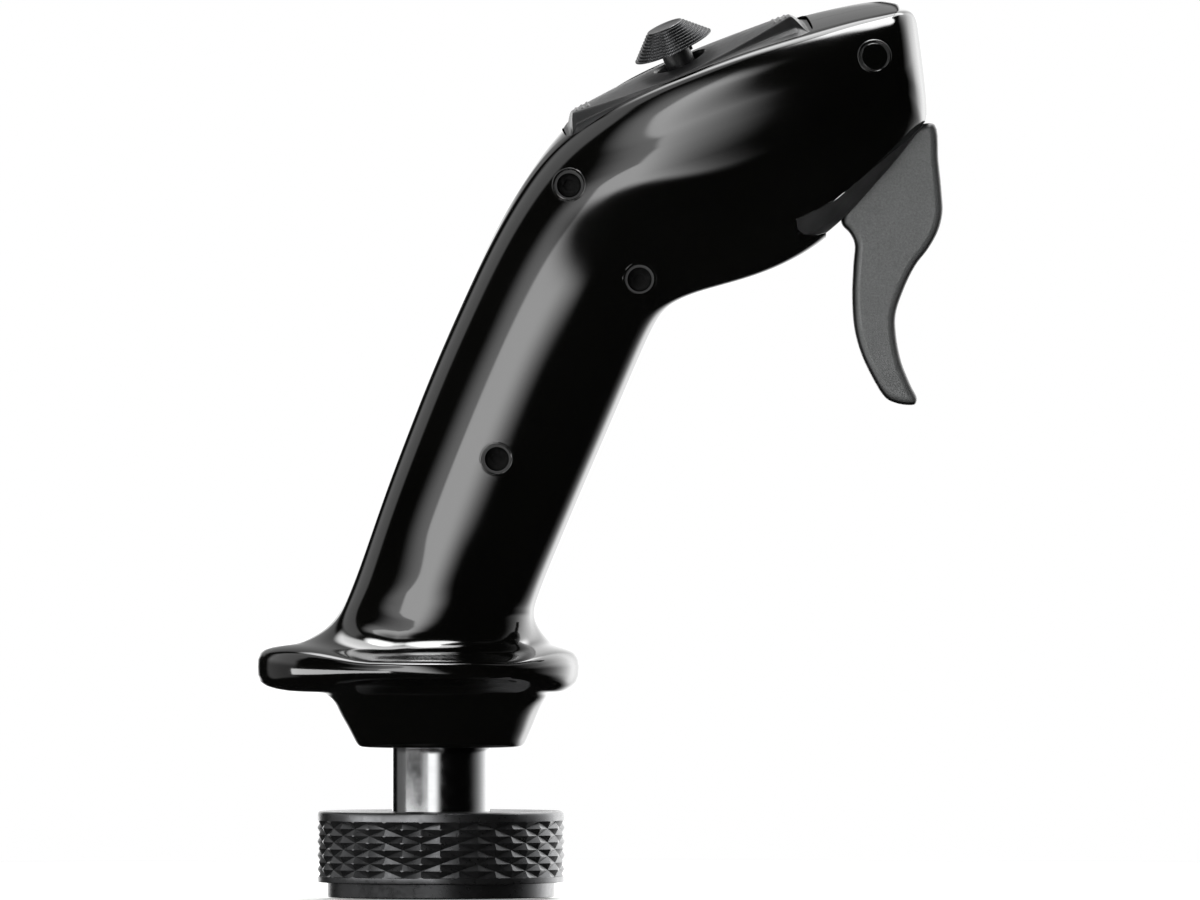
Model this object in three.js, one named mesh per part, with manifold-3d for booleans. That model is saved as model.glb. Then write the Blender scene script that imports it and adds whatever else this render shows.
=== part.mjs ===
// Flight joystick grip with a quick-release coupling: a hollow two-part grip with a palm rest, a sprung
// trigger, a tilting thumb hat inside a rocking thumb plate, and a knurled coupling nut on a steel stem.
// Units are millimetres. X points forward, Y to the left and Z up. Heights in this file are measured from
// the lower edge of the coupling nut, and the last group lowers everything so that Z = 0 is the seat face
// of the stem, where the stick meets its base.
import * as THREE from 'three';
import { LoftGeometry } from 'three/addons/geometries/LoftGeometry.js';
import { mergeVertices } from 'three/addons/utils/BufferGeometryUtils.js';
import Module from 'manifold-3d';

const wasm = await Module();
wasm.setup();

// ---- driving dimensions ---------------------------------------------------------------------------
const GAP = 0.3; // between pieces that touch
const WALL = 2.4; // grip shell thickness
const SECTION_POINTS = 15; // on each half of an outer section of the grip
const CAVITY_POINTS = 9;

const SEAT_HEIGHT = 13; // seat face above the nut's lower edge
const STEM_R = 12.2;
const STEM_BORE_R = 9.5;
const STEM_TOP = 62;
const STEM_FLANGE_R = 17.5;
const STEM_FLANGE_T = 3.7;

const NUT_R = 30.8;
const NUT_RING_R = 28.4;
const NUT_RING_TOP = 3.75;
const NUT_TOP = 21.5;
const NUT_THREAD_R = 18.4;
const NUT_LIP_T = 3.2;
const KNURL_LOW = 5.3;
const KNURL_HIGH = 19.1;

const CUP_BOTTOM = 37.5; // underside of the grip
const NECK_HEIGHT = 75; // where the palm rest ends and the grip begins
const NECK_X = 0.35;
const CAVITY_FLOOR = 42.5;
const CAVITY_R = 17;

const DECK_ORIGIN = new THREE.Vector3(59.7, 0, 208.9); // centre of the hat hole
const DECK_PITCH = THREE.MathUtils.degToRad(24);
const DECK_ROLL = THREE.MathUtils.degToRad(11);
const PLATE_HALF_LENGTH = 33.5;
const PLATE_HALF_WIDTH = 14;
const PLATE_GAP = 0.5;
const HAT_HOLE_R = 6.5;
const HAT_PIVOT = -9; // along the deck normal
const ROCKER_AXIS = -7;

const TRIGGER_PIVOT = new THREE.Vector2(108.5, 187);
const TRIGGER_HALF_WIDTH = 6.6;
const TRIGGER_SLOT_HALF = 7.4;
const TRIGGER_PIN_R = 1.5;

const SHELL_SCREWS = [[14, 109.5], [32, 177.8], [49.6, 154.3], [108.1, 209.8]]; // [x, height]
const RECESS_R = 3.6;
const RECESS_FLOOR = -8;
const SHANK_R = 1.5;
const INSERT_R = 2.4;

const BOARD_CENTRE = new THREE.Vector2(25.5, 134);
const BOARD_TILT = Math.atan2(0.36, 0.93); // lean of the grip
const BOARD_FACE = 2.5;
const BOARD_T = 1.6;
const BOARD_SCREW_SPACING = 12.5;

// ---- materials ------------------------------------------------------------------------------------
const material = (color, roughness, metalness) => new THREE.MeshStandardMaterial({ color, roughness, metalness });
const glossBlack = () => material(0x0b0b0a, 0.08, 0);
const satinBlack = () => material(0x24262a, 0.45, 0);
const triggerGrey = () => material(0x6e7070, 0.5, 0.1);
const anodised = () => material(0x35373a, 0.38, 0.9);
const steel = () => material(0xb4b6b8, 0.25, 1);
const brass = () => material(0xc09a50, 0.3, 1);
const board = () => material(0x1d4a2c, 0.5, 0);
const rubber = () => material(0x161616, 0.8, 0);
const nylon = () => material(0xd8d5cc, 0.5, 0);

// ---- geometry helpers -----------------------------------------------------------------------------
function solid(geometry) {
  const bare = geometry.index ? geometry.toNonIndexed() : geometry.clone();
  bare.deleteAttribute('normal');
  bare.deleteAttribute('uv');
  const merged = mergeVertices(bare, 1e-4);
  return new wasm.Manifold(new wasm.Mesh({
    numProp: 3,
    vertProperties: new Float32Array(merged.attributes.position.array),
    triVerts: new Uint32Array(merged.index.array),
  }));
}

function geometryOf(manifold) {
  const { vertProperties, triVerts } = manifold.getMesh();
  const geometry = new THREE.BufferGeometry();
  geometry.setAttribute('position', new THREE.BufferAttribute(vertProperties, 3));
  geometry.setIndex(new THREE.BufferAttribute(triVerts, 1));
  geometry.computeVertexNormals();
  return geometry;
}

function addPart(parent, name, shape, look) {
  const geometry = shape.isBufferGeometry ? shape : geometryOf(shape);
  const part = new THREE.Mesh(geometry, look);
  part.name = name;
  parent.add(part);
  return part;
}

// A profile of (radius, height) points turned about Z.
function turned(profile, segments = 40) {
  const points = profile.map(([r, z]) => new THREE.Vector2(r, z));
  return new THREE.LatheGeometry(points, segments).rotateX(Math.PI / 2);
}

function disc(radius, low, high, segments = 24) {
  return turned([[0, low], [radius, low], [radius, high], [0, high]], segments);
}

function tube(inner, outer, low, high, segments = 24) {
  return turned([[inner, low], [outer, low], [outer, high], [inner, high], [inner, low]], segments);
}

function block(x, y, z) {
  return new THREE.BoxGeometry(x[1] - x[0], y[1] - y[0], z[1] - z[0])
    .translate((x[0] + x[1]) / 2, (y[0] + y[1]) / 2, (z[0] + z[1]) / 2);
}

// An outline in the XZ plane, extruded across Y with chamfered edges, and grown or shrunk by an offset.
function sideSlab(outline, yLow, yHigh, { chamfer = 0.01, offset = 0 } = {}) {
  const shape = new THREE.Shape(outline.map(([x, z]) => new THREE.Vector2(x, z)));
  return new THREE.ExtrudeGeometry(shape, {
    depth: yHigh - yLow - 2 * chamfer,
    bevelThickness: chamfer,
    bevelSize: chamfer,
    bevelOffset: offset - chamfer,
    bevelSegments: 1,
  }).translate(0, 0, chamfer - yHigh).rotateX(Math.PI / 2);
}

// A shape made along Z, turned to lie along Y at (x, z), or along X at (y, z).
function acrossY(geometry, x, z) {
  return geometry.rotateX(-Math.PI / 2).translate(x, 0, z);
}

function acrossX(geometry, y, z) {
  return geometry.rotateY(Math.PI / 2).translate(0, y, z);
}

function rod(points, radius, steps, sides = 8) {
  const path = new THREE.CatmullRomCurve3(points.map((p) => new THREE.Vector3(...p)));
  const section = new THREE.Shape();
  for (let i = 0; i < sides; i += 1) {
    const angle = (2 * Math.PI * i) / sides;
    const at = [radius * Math.cos(angle), radius * Math.sin(angle)];
    if (i === 0) section.moveTo(...at);
    else section.lineTo(...at);
  }
  return new THREE.ExtrudeGeometry(section, { extrudePath: path, steps, bevelEnabled: false });
}

function coil(radius, wire, pitch, turns) {
  const points = [];
  const perTurn = 10;
  for (let i = 0; i <= turns * perTurn; i += 1) {
    const angle = (2 * Math.PI * i) / perTurn;
    points.push([radius * Math.cos(angle), radius * Math.sin(angle), (pitch * i) / perTurn]);
  }
  return rod(points, wire, turns * perTurn, 6);
}

const smooth = (low, high, value) => THREE.MathUtils.smoothstep(value, low, high);

// ---- the grip's outer surface ---------------------------------------------------------------------
// Each station is a flat section across the stick. It runs from a point on the front or lower edge to a
// point on the rear or upper edge, both on the middle plane. The other values are the half width, where
// between the two points it is widest, the half width of the flat on the upper side, the angle at which
// the side reaches that flat (90 is a smooth join), the share of the head's roll, and the fullness.
const STATIONS = [
  { low: [24.3, 75], high: [-23.3, 75], width: 18.5, widest: 0.5, flat: 5, edge: 88, roll: 0, full: 2.15 },
  { low: [28.8, 86], high: [-19.2, 86], width: 18.6, widest: 0.5, flat: 5, edge: 88, roll: 0, full: 2.15 },
  { low: [34.7, 100], high: [-14.2, 100.5], width: 19, widest: 0.5, flat: 5, edge: 88, roll: 0, full: 2.15 },
  { low: [41.2, 115], high: [-8, 117], width: 19.3, widest: 0.5, flat: 5, edge: 88, roll: 0, full: 2.15 },
  { low: [47.2, 129], high: [-0.8, 135], width: 19.6, widest: 0.5, flat: 5, edge: 88, roll: 0, full: 2.15 },
  { low: [51.8, 139.5], high: [6.3, 151], width: 20, widest: 0.5, flat: 5, edge: 88, roll: 0, full: 2.15 },
  { low: [55.2, 145.9], high: [12.6, 164.5], width: 20.8, widest: 0.5, flat: 5.5, edge: 88, roll: 0, full: 2.2 },
  { low: [58.6, 148.6], high: [20, 177.9], width: 21.8, widest: 0.54, flat: 7, edge: 85, roll: 0.1, full: 2.1 },
  { low: [63, 150.6], high: [28.6, 189.7], width: 24, widest: 0.66, flat: 10.5, edge: 76, roll: 0.5, full: 2 },
  { low: [69.5, 152.5], high: [39.1, 197.7], width: 25.6, widest: 0.63, flat: 14, edge: 63, roll: 0.95, full: 1.95 },
  { low: [78, 154.9], high: [50, 203.6], width: 25.8, widest: 0.59, flat: 15.5, edge: 58, roll: 1, full: 1.95 },
  { low: [87.3, 158.7], high: [64, 209.4], width: 25.8, widest: 0.59, flat: 15.5, edge: 58, roll: 1, full: 1.95 },
  { low: [95.5, 163.7], high: [78, 214.4], width: 25.3, widest: 0.58, flat: 15.5, edge: 58, roll: 1, full: 2 },
  { low: [101.8, 169.4], high: [90.5, 217.9], width: 24.6, widest: 0.56, flat: 15, edge: 58, roll: 1, full: 2.1 },
  { low: [107.7, 176.3], high: [101, 220.7], width: 23.6, widest: 0.54, flat: 14.4, edge: 60, roll: 0.95, full: 2.2 },
  { low: [113.8, 183.4], high: [109.4, 222.2], width: 21.6, widest: 0.52, flat: 13.2, edge: 64, roll: 0.85, full: 2.3 },
  { low: [119.6, 190.4], high: [115.4, 222.6], width: 17, widest: 0.5, flat: 11, edge: 66, roll: 0.7, full: 2.3 },
];
const CORNER = 0.8; // how far round a half section the edge of the flat lies
const CORNER_SOFT = 0.035;
const FLAT_CROWN = 0.5;

function stationAt(t) {
  const at = Math.min(Math.max(t, 0), STATIONS.length - 1);
  const i = Math.min(Math.floor(at), STATIONS.length - 2);
  const f = at - i;
  const key = (k) => STATIONS[Math.min(Math.max(k, 0), STATIONS.length - 1)];
  const blend = (pick) => {
    const [a, b, c, d] = [key(i - 1), key(i), key(i + 1), key(i + 2)].map(pick);
    return b + 0.5 * f * (c - a + f * (2 * a - 5 * b + 4 * c - d + f * (3 * (b - c) + d - a)));
  };
  return {
    low: [blend((s) => s.low[0]), blend((s) => s.low[1])],
    high: [blend((s) => s.high[0]), blend((s) => s.high[1])],
    width: blend((s) => s.width),
    widest: blend((s) => s.widest),
    flat: blend((s) => s.flat),
    edge: blend((s) => s.edge),
    roll: blend((s) => s.roll),
    full: blend((s) => s.full),
  };
}

// A point of the half section: [share of the way up, half width], for u from 0 (low) to 1 (high).
function rawHalfSection(s, u, depth) {
  const belly = 0.42;
  if (u <= belly) {
    const angle = (u / belly) * (Math.PI / 2);
    return [
      s.widest * (1 - Math.cos(angle) ** (2 / s.full)),
      s.width * Math.sin(angle) ** (2 / s.full),
    ];
  }
  if (u <= CORNER) {
    const last = THREE.MathUtils.degToRad(s.edge);
    const angle = ((u - belly) / (CORNER - belly)) * last;
    return [
      s.widest + ((1 - s.widest) * Math.sin(angle)) / Math.sin(last),
      s.flat + ((s.width - s.flat) * (Math.cos(angle) - Math.cos(last))) / (1 - Math.cos(last)),
    ];
  }
  const across = (1 - u) / (1 - CORNER);
  return [1 + (FLAT_CROWN * (1 - across * across)) / depth, s.flat * across];
}

function halfSection(s, u, depth) {
  const off = u - CORNER;
  if (Math.abs(off) >= CORNER_SOFT) return rawHalfSection(s, u, depth);
  const [before, corner, after] = [-CORNER_SOFT, 0, CORNER_SOFT].map((o) => rawHalfSection(s, CORNER + o, depth));
  const f = (off + CORNER_SOFT) / (2 * CORNER_SOFT);
  return [0, 1].map((k) => (1 - f) ** 2 * before[k] + 2 * f * (1 - f) * corner[k] + f * f * after[k]);
}

function sectionRing(t, inset, points) {
  const s = stationAt(t);
  const along = new THREE.Vector2(s.high[0] - s.low[0], s.high[1] - s.low[1]);
  const depth = along.length();
  along.divideScalar(depth);
  const ring = [];
  for (let i = 0; i < 2 * points; i += 1) {
    const side = i <= points ? 1 : -1;
    const u = (i <= points ? i : 2 * points - i) / points;
    const [share, half] = halfSection(s, u, depth);
    const y = side * half * (1 - inset / s.width);
    const up = inset + share * (depth - 2 * inset) + y * Math.tan(DECK_ROLL) * s.roll * smooth(0.35, 1, share);
    ring.push(new THREE.Vector3(s.low[0] + along.x * up, y, s.low[1] + along.y * up));
  }
  return ring;
}

// The last section is closed by a rounded front face: [scale across, scale along the section, how far forward].
const FRONT_FACE = [[0.88, 0.97, 1.1], [0.72, 0.9, 2.2], [0.52, 0.74, 3], [0.3, 0.44, 3.4]];

function frontRings(last, rows) {
  const centre = last.reduce((sum, p) => sum.add(p), new THREE.Vector3()).divideScalar(last.length);
  const forward = new THREE.Vector3(0.985, 0, 0.17);
  return rows.map(([across, along, ahead]) => last.map((p) => p.clone().sub(centre)
    .multiply(new THREE.Vector3(along, across, along)).add(centre).addScaledVector(forward, ahead)));
}

// The palm rest and the cup below it, as a profile whose radii and heights depend on direction. Each row
// is [height at the side, height at the ends, radius at the side, at the front, at the rear].
const PALM_REST = [
  [37.5, 37.5, 19, 19.2, 19],
  [37.6, 37.6, 20.2, 20.4, 20.3],
  [38.1, 38.1, 20.8, 21, 21],
  [39.4, 39.4, 21.5, 21.7, 21.9],
  [43, 43, 23.1, 23.3, 23.8],
  [46.75, 46.75, 24.8, 24.9, 25.9],
  [49.75, 49.6, 26.4, 26.8, 27.6],
  [52.8, 51, 29.5, 30, 33],
  [54.6, 52.1, 34.2, 32.8, 42.3],
  [55.3, 53.9, 35.8, 34.4, 45.5],
  [57.2, 57.6, 36, 35, 46.2],
  [58.6, 61, 35.6, 34, 45.6],
  [59.2, 62.5, 34, 31.6, 43.2],
  [60.6, 64, 27.5, 28, 35.8],
  [63.4, 67.2, 22.4, 24.9, 29.2],
  [68.5, 71, 19.2, 23.4, 25.8],
];

function elliptical(angle, sideR, frontR, rearR) {
  const endR = Math.cos(angle) > 0 ? frontR : rearR;
  return 1 / Math.hypot(Math.cos(angle) / endR, Math.sin(angle) / sideR);
}

// The upper rows take on the shape of the neck above them, by their likeness to it.
function palmRing(row, neck, likeness) {
  const [sideZ, endZ, sideR, frontR, rearR] = row;
  const neckSide = Math.max(...neck.map((p) => p.y));
  const neckFront = Math.max(...neck.map((p) => p.x)) - NECK_X;
  const neckRear = NECK_X - Math.min(...neck.map((p) => p.x));
  return neck.map((p) => {
    const angle = Math.atan2(p.y, p.x - NECK_X);
    const fullness = Math.hypot(p.x - NECK_X, p.y) / elliptical(angle, neckSide, neckFront, neckRear);
    const radius = elliptical(angle, sideR, frontR, rearR) * fullness ** likeness;
    const height = sideZ + (endZ - sideZ) * smooth(0.45, 1, Math.abs(Math.cos(angle)));
    return new THREE.Vector3(radius * Math.cos(angle), radius * Math.sin(angle), height);
  });
}

function range(from, to, step) {
  const count = Math.round((to - from) / step);
  return Array.from({ length: count + 1 }, (_, i) => from + ((to - from) * i) / count);
}

function loft(rings) {
  return new LoftGeometry(rings, { closed: true, capStart: true, capEnd: true });
}

function outerBody() {
  const last = STATIONS.length - 1;
  const rings = range(0, last, 1).map((t) => sectionRing(t, 0, SECTION_POINTS));
  const top = PALM_REST.length - 1;
  const palm = PALM_REST.map((row, i) => palmRing(row, rings[0], smooth(top - 4, top, i)));
  return solid(loft([...palm, ...rings, ...frontRings(rings.at(-1), FRONT_FACE)]));
}

function cavity() {
  const last = STATIONS.length - 1;
  const rings = range(0.4, last - 0.15, 1.2).map((t) => sectionRing(t, WALL, CAVITY_POINTS));
  const round = (z) => rings[0].map((p) => {
    const angle = Math.atan2(p.y, p.x - NECK_X);
    return new THREE.Vector3(CAVITY_R * Math.cos(angle), CAVITY_R * Math.sin(angle), z);
  });
  return solid(loft([round(CAVITY_FLOOR), round(64), ...rings]));
}

// ---- the head's deck frame ------------------------------------------------------------------------
const deckNormalFlat = new THREE.Vector3(-Math.sin(DECK_PITCH), 0, Math.cos(DECK_PITCH));
const deckAlong = new THREE.Vector3(Math.cos(DECK_PITCH), 0, Math.sin(DECK_PITCH));
const leftward = new THREE.Vector3(0, 1, 0);
const deckUp = deckNormalFlat.clone().multiplyScalar(Math.cos(DECK_ROLL)).addScaledVector(leftward, -Math.sin(DECK_ROLL));
const deckLeft = deckUp.clone().cross(deckAlong);
const deckMatrix = new THREE.Matrix4().makeBasis(deckAlong, deckLeft, deckUp).setPosition(DECK_ORIGIN);

// The plate's outline, grown by a margin: long sides slightly waisted, ends as arcs.
function plateOutline(margin) {
  const shape = new THREE.Shape();
  const long = PLATE_HALF_LENGTH + margin;
  const wide = PLATE_HALF_WIDTH + margin;
  const shoulder = long - 5.5;
  shape.moveTo(-shoulder, -wide);
  shape.lineTo(shoulder, -wide);
  shape.quadraticCurveTo(long - 0.6, -wide, long - 0.3, -wide + 5.5);
  shape.quadraticCurveTo(long, 0, long - 0.3, wide - 5.5);
  shape.quadraticCurveTo(long - 0.6, wide, shoulder, wide);
  shape.lineTo(-shoulder, wide);
  shape.quadraticCurveTo(-long + 0.6, wide, -long + 0.3, wide - 5.5);
  shape.quadraticCurveTo(-long, 0, -long + 0.3, -wide + 5.5);
  shape.quadraticCurveTo(-long + 0.6, -wide, -shoulder, -wide);
  return shape;
}

function platePrism(margin, low, high) {
  return new THREE.ExtrudeGeometry(plateOutline(margin), { depth: high - low, bevelEnabled: false, curveSegments: 4 })
    .translate(0, 0, low);
}

// ---- trigger and bezel outlines -------------------------------------------------------------------
const TRIGGER_FRONT = [
  [118.9, 124.6], [117.4, 127.8], [115, 133.8], [113.7, 140.5], [113.6, 145.5], [115.2, 150.9], [118.5, 157.8],
  [121.9, 162.3], [124.3, 166.8], [125.3, 171], [125.1, 176], [124.3, 184], [123.3, 193],
];
const TRIGGER_HUB = [[120, 193.2], [114.6, 192.2], [111.4, 192], [108.5, 192.6], [104.4, 191.2], [102.8, 186]];
const TRIGGER_REAR = [
  [100.9, 176], [100.2, 168.4], [102.2, 166], [103.4, 163.4], [103.1, 158], [102.8, 150], [103.3, 142.6],
  [104.8, 136.6], [107.5, 130.6], [111.2, 124.8], [113.8, 123.5], [116.9, 123], [118.4, 123.2],
];
const BEZEL_OUTLINE = [
  [88.5, 169.3], [93.5, 171.6], [98.5, 174.3], [104, 178.9], [110.4, 184.3], [116, 188.6], [121.4, 194.2],
  [124, 193.6], [120.6, 191], [100.8, 168.2], [97, 166.2], [93.5, 165.3], [90.5, 165.4], [88.8, 166.8],
];
const EAR_OUTLINE = [[104.5, 176.5], [109.8, 181.8], [111.9, 186.6], [112.3, 189], [110.6, 191.2], [106.8, 191.5], [104, 189]];
const SLOT_OUTLINE = [[96.2, 160], [128, 160], [128, 194.6], [121, 195.4], [115, 196], [100, 194.6], [96.2, 186]];

// ---- assembly -------------------------------------------------------------------------------------
const group = new THREE.Group();
const stick = new THREE.Group();
stick.position.z = -SEAT_HEIGHT;
group.add(stick);
const deck = new THREE.Group();
deckMatrix.decompose(deck.position, deck.quaternion, deck.scale);
stick.add(deck);

const outer = outerBody();
const slot = solid(sideSlab(SLOT_OUTLINE, -TRIGGER_SLOT_HALF, TRIGGER_SLOT_HALF));
const boardScrewAt = (end) => [
  BOARD_CENTRE.x + end * BOARD_SCREW_SPACING * Math.sin(BOARD_TILT),
  BOARD_CENTRE.y + end * BOARD_SCREW_SPACING * Math.cos(BOARD_TILT),
];

function post(radius, low, high, [x, z], segments = 14) {
  return solid(acrossY(disc(radius, low, high, segments), x, z));
}

function buildShells() {
  const hollow = outer.subtract(cavity())
    .subtract(solid(disc(STEM_R + GAP, 30, 70, 32)))
    .subtract(solid(platePrism(PLATE_GAP, -24, 12).applyMatrix4(deckMatrix)))
    .subtract(solid(sideSlab(BEZEL_OUTLINE, -40, 40)))
    .subtract(slot);
  const side = (low, high) => solid(block([-80, 160], [low, high], [20, 250]));
  let right = hollow.intersect(side(-60, -GAP / 2));
  let left = hollow.intersect(side(GAP / 2, 60));
  SHELL_SCREWS.forEach((at) => {
    right = right.add(post(5, -30, -1, at).intersect(outer));
    left = left.add(post(4.4, 1, 30, at).intersect(outer));
    right = right.subtract(post(RECESS_R, -40, RECESS_FLOOR, at)).subtract(post(SHANK_R + GAP, -40, 0, at));
    left = left.subtract(post(INSERT_R + GAP, 0, 10, at));
  });
  [-1, 1].map(boardScrewAt).forEach((at) => {
    left = left.add(post(2.8, BOARD_FACE + BOARD_T + GAP, 30, at, 10).intersect(outer))
      .subtract(post(1.2 + GAP, 0, 11, at, 10));
  });
  addPart(stick, 'right_shell', right, glossBlack());
  addPart(stick, 'left_shell', left, glossBlack());
}

function buildShellFasteners() {
  SHELL_SCREWS.forEach((at, i) => {
    const head = post(3, RECESS_FLOOR - 3, RECESS_FLOOR - GAP, at);
    const socket = post(1.5, RECESS_FLOOR - 4, RECESS_FLOOR - 1.2, at, 6);
    const shank = post(SHANK_R, RECESS_FLOOR - 1, 9, at, 10);
    addPart(stick, `shell_screw_${i + 1}`, head.subtract(socket).add(shank), steel());
    const insert = post(INSERT_R, 1.2, 9.6, at).subtract(post(SHANK_R + GAP, 0, 12, at, 10));
    addPart(stick, `threaded_insert_${i + 1}`, insert, brass());
  });
  const [plugged] = SHELL_SCREWS.slice(-1);
  addPart(stick, 'screw_plug', post(RECESS_R - GAP, -40, -15, plugged, 20).intersect(outer), glossBlack());
}

function buildTrigger() {
  const pivot = [TRIGGER_PIVOT.x, TRIGGER_PIVOT.y];
  const bumperPocket = solid(block([94.6, 97.5], [-5.3, 5.3], [166.7, 171]));
  let bezel = solid(sideSlab(BEZEL_OUTLINE, -40, 40, { offset: -GAP })).intersect(outer).subtract(slot)
    .subtract(bumperPocket);
  [[-9.1, -7.6], [7.6, 9.1]].forEach(([low, high]) => {
    bezel = bezel.add(solid(sideSlab(EAR_OUTLINE, low, high)));
  });
  bezel = bezel.subtract(post(TRIGGER_PIN_R + GAP, -20, 20, pivot));
  addPart(stick, 'trigger_bezel', bezel, satinBlack());

  const outline = [...TRIGGER_FRONT, ...TRIGGER_HUB, ...TRIGGER_REAR];
  const springGap = post(7, -3.2, 3.2, [pivot[0], pivot[1] + 2.5], 18);
  const blade = solid(sideSlab(outline, -TRIGGER_HALF_WIDTH, TRIGGER_HALF_WIDTH, { chamfer: 0.9 }))
    .subtract(springGap).subtract(post(TRIGGER_PIN_R + GAP, -20, 20, pivot));
  addPart(stick, 'trigger_blade', blade, triggerGrey());
  addPart(stick, 'trigger_pin', post(TRIGGER_PIN_R, -9.8, 9.8, pivot), steel());
  const spring = coil(2.9, 0.45, 1.2, 4).translate(0, 0, -2.4);
  addPart(stick, 'trigger_spring', acrossY(spring, ...pivot), steel());
  const magnet = disc(1.5, 0, 1.4, 12).translate(106.6, 4.7, 192.9);
  addPart(stick, 'trigger_magnet', magnet, steel());
  addPart(stick, 'trigger_bumper', block([94.9, 97], [-5, 5], [167, 170.7]), rubber());
  addPart(stick, 'trigger_sensor_board', block([99, 111], [-1.5, 8.5], [196.6, 197.8]), board());
}

// The thumb plate: a saddle on a thin base that follows the curve of the deck. Its raised top is broad in
// the middle and narrower, level and steep-sided at the two ends.
const TOP_END = 29.5;

function plateSection(s) {
  const run = Math.min(Math.abs(s) / TOP_END, 1);
  const overhang = Math.max(Math.abs(s) - TOP_END, 0) / (PLATE_HALF_LENGTH - TOP_END);
  const base = -1.9 - (s * s) / 340;
  const baseHalf = PLATE_HALF_WIDTH - 5.5 * smooth(0.5, 1.3, overhang) - 1.2 * overhang;
  const topHalf = 12.6 - 3.6 * run ** 1.6;
  const footHalf = Math.min(topHalf + 2, baseHalf - 0.5);
  const centre = -0.5 * run * run;
  const edgeDrop = 1.1 - 0.9 * run * run;
  const twist = 0.14 * run * run;
  const shrink = 1 - smooth(0, 0.75, overhang);
  const top = (y) => base + 0.15
    + (centre - edgeDrop * (y / topHalf) ** 2 - twist * y - base) * shrink;
  const half = (k) => [
    [k * baseHalf, base - 1.6], [k * baseHalf, base], [k * footHalf, base + 0.25 + 0.4 * shrink],
    [k * topHalf, top(k * topHalf)], [k * topHalf * 0.55, top(k * topHalf * 0.55)],
  ];
  const points = [[0, base - 1.6], ...half(1), [0, top(0)], ...half(-1).reverse()];
  return points.map(([y, n]) => new THREE.Vector3(s, y, n));
}

function buildThumbPlate() {
  const stops = [-33.35, -32.4, -31.4, -30.4, -29.5, -25, -20, -14, -7, 0, 7, 14, 20, 25, 29.5, 30.4, 31.4, 32.4, 33.35];
  let plate = solid(loft(stops.map(plateSection))).subtract(solid(disc(HAT_HOLE_R, -10, 10, 28)));
  [[-12.3, -9.9], [9.9, 12.3]].forEach(([low, high]) => {
    plate = plate.add(solid(block([-3, 3], [low, high], [ROCKER_AXIS - 2.4, -2.6])));
  });
  plate = plate.subtract(post(1.5, -20, 20, [0, ROCKER_AXIS]));
  addPart(deck, 'thumb_plate', plate, satinBlack());
  addPart(deck, 'plate_axle_right', acrossY(disc(1.2, -14.4, -9.7, 12), 0, ROCKER_AXIS), steel());
  addPart(deck, 'plate_axle_left', acrossY(disc(1.2, 9.7, 14.4, 12), 0, ROCKER_AXIS), steel());

  let carrier = solid(block([-29, 28], [-14, 14], [-16.6, -15]));
  [[-14.4, -12.8], [12.8, 14.4]].forEach(([low, high]) => {
    carrier = carrier.add(solid(block([-5, 5], [low, high], [-15.5, ROCKER_AXIS + 2])));
  });
  [-22, 22].forEach((s) => {
    carrier = carrier.add(solid(block([s - 3.5, s + 3.5], [-3.5, 3.5], [-15.5, -10.4])));
  });
  carrier = carrier.subtract(post(1.5, -20, 20, [0, ROCKER_AXIS]));
  addPart(deck, 'deck_carrier', carrier, nylon());
  [['rear', -22], ['front', 22]].forEach(([name, s]) => {
    const body = solid(block([s - 3, s + 3], [-3, 3], [-10.1, -6.8]));
    const plunger = solid(disc(1.6, -8, -6.1, 12).translate(s, 0, 0));
    addPart(deck, `plate_switch_${name}`, body.add(plunger), satinBlack());
  });
}

function buildHat() {
  const [rimR, topR, low, high] = [10.3, 4.75, 4, 9.76];
  const profile = [[2.7, low], [rimR, low], [rimR, low + 0.4], [topR, high], [0, high], [0, 8.7], [2.7, 8.7], [2.7, low]];
  addPart(deck, 'hat_cap', turned(profile, 20), anodised());
  const stem = [[0, -10.6], [3, -10.6], [3, -7.5], [3.7, -5.5], [3.7, 3.7], [2.4, 3.7], [2.4, 8.4], [0, 8.4]];
  addPart(deck, 'hat_stem', turned(stem, 24), satinBlack());
  addPart(deck, 'hat_gimbal_ring', tube(5, 6.6, HAT_PIVOT - 1, HAT_PIVOT + 1, 24), steel());
  const housing = solid(block([-9, 9], [-9, 9], [-14.7, -6])).subtract(solid(disc(7.6, -13.5, 0, 24)));
  addPart(deck, 'hat_housing', housing, nylon());
  addPart(deck, 'hat_spring', coil(2.8, 0.3, 0.6, 2).translate(0, 0, -13.1), steel());
  addPart(deck, 'hat_board', block([-10, 10], [-10, 10], [-18.6, -17.1]), board());
}

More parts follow.
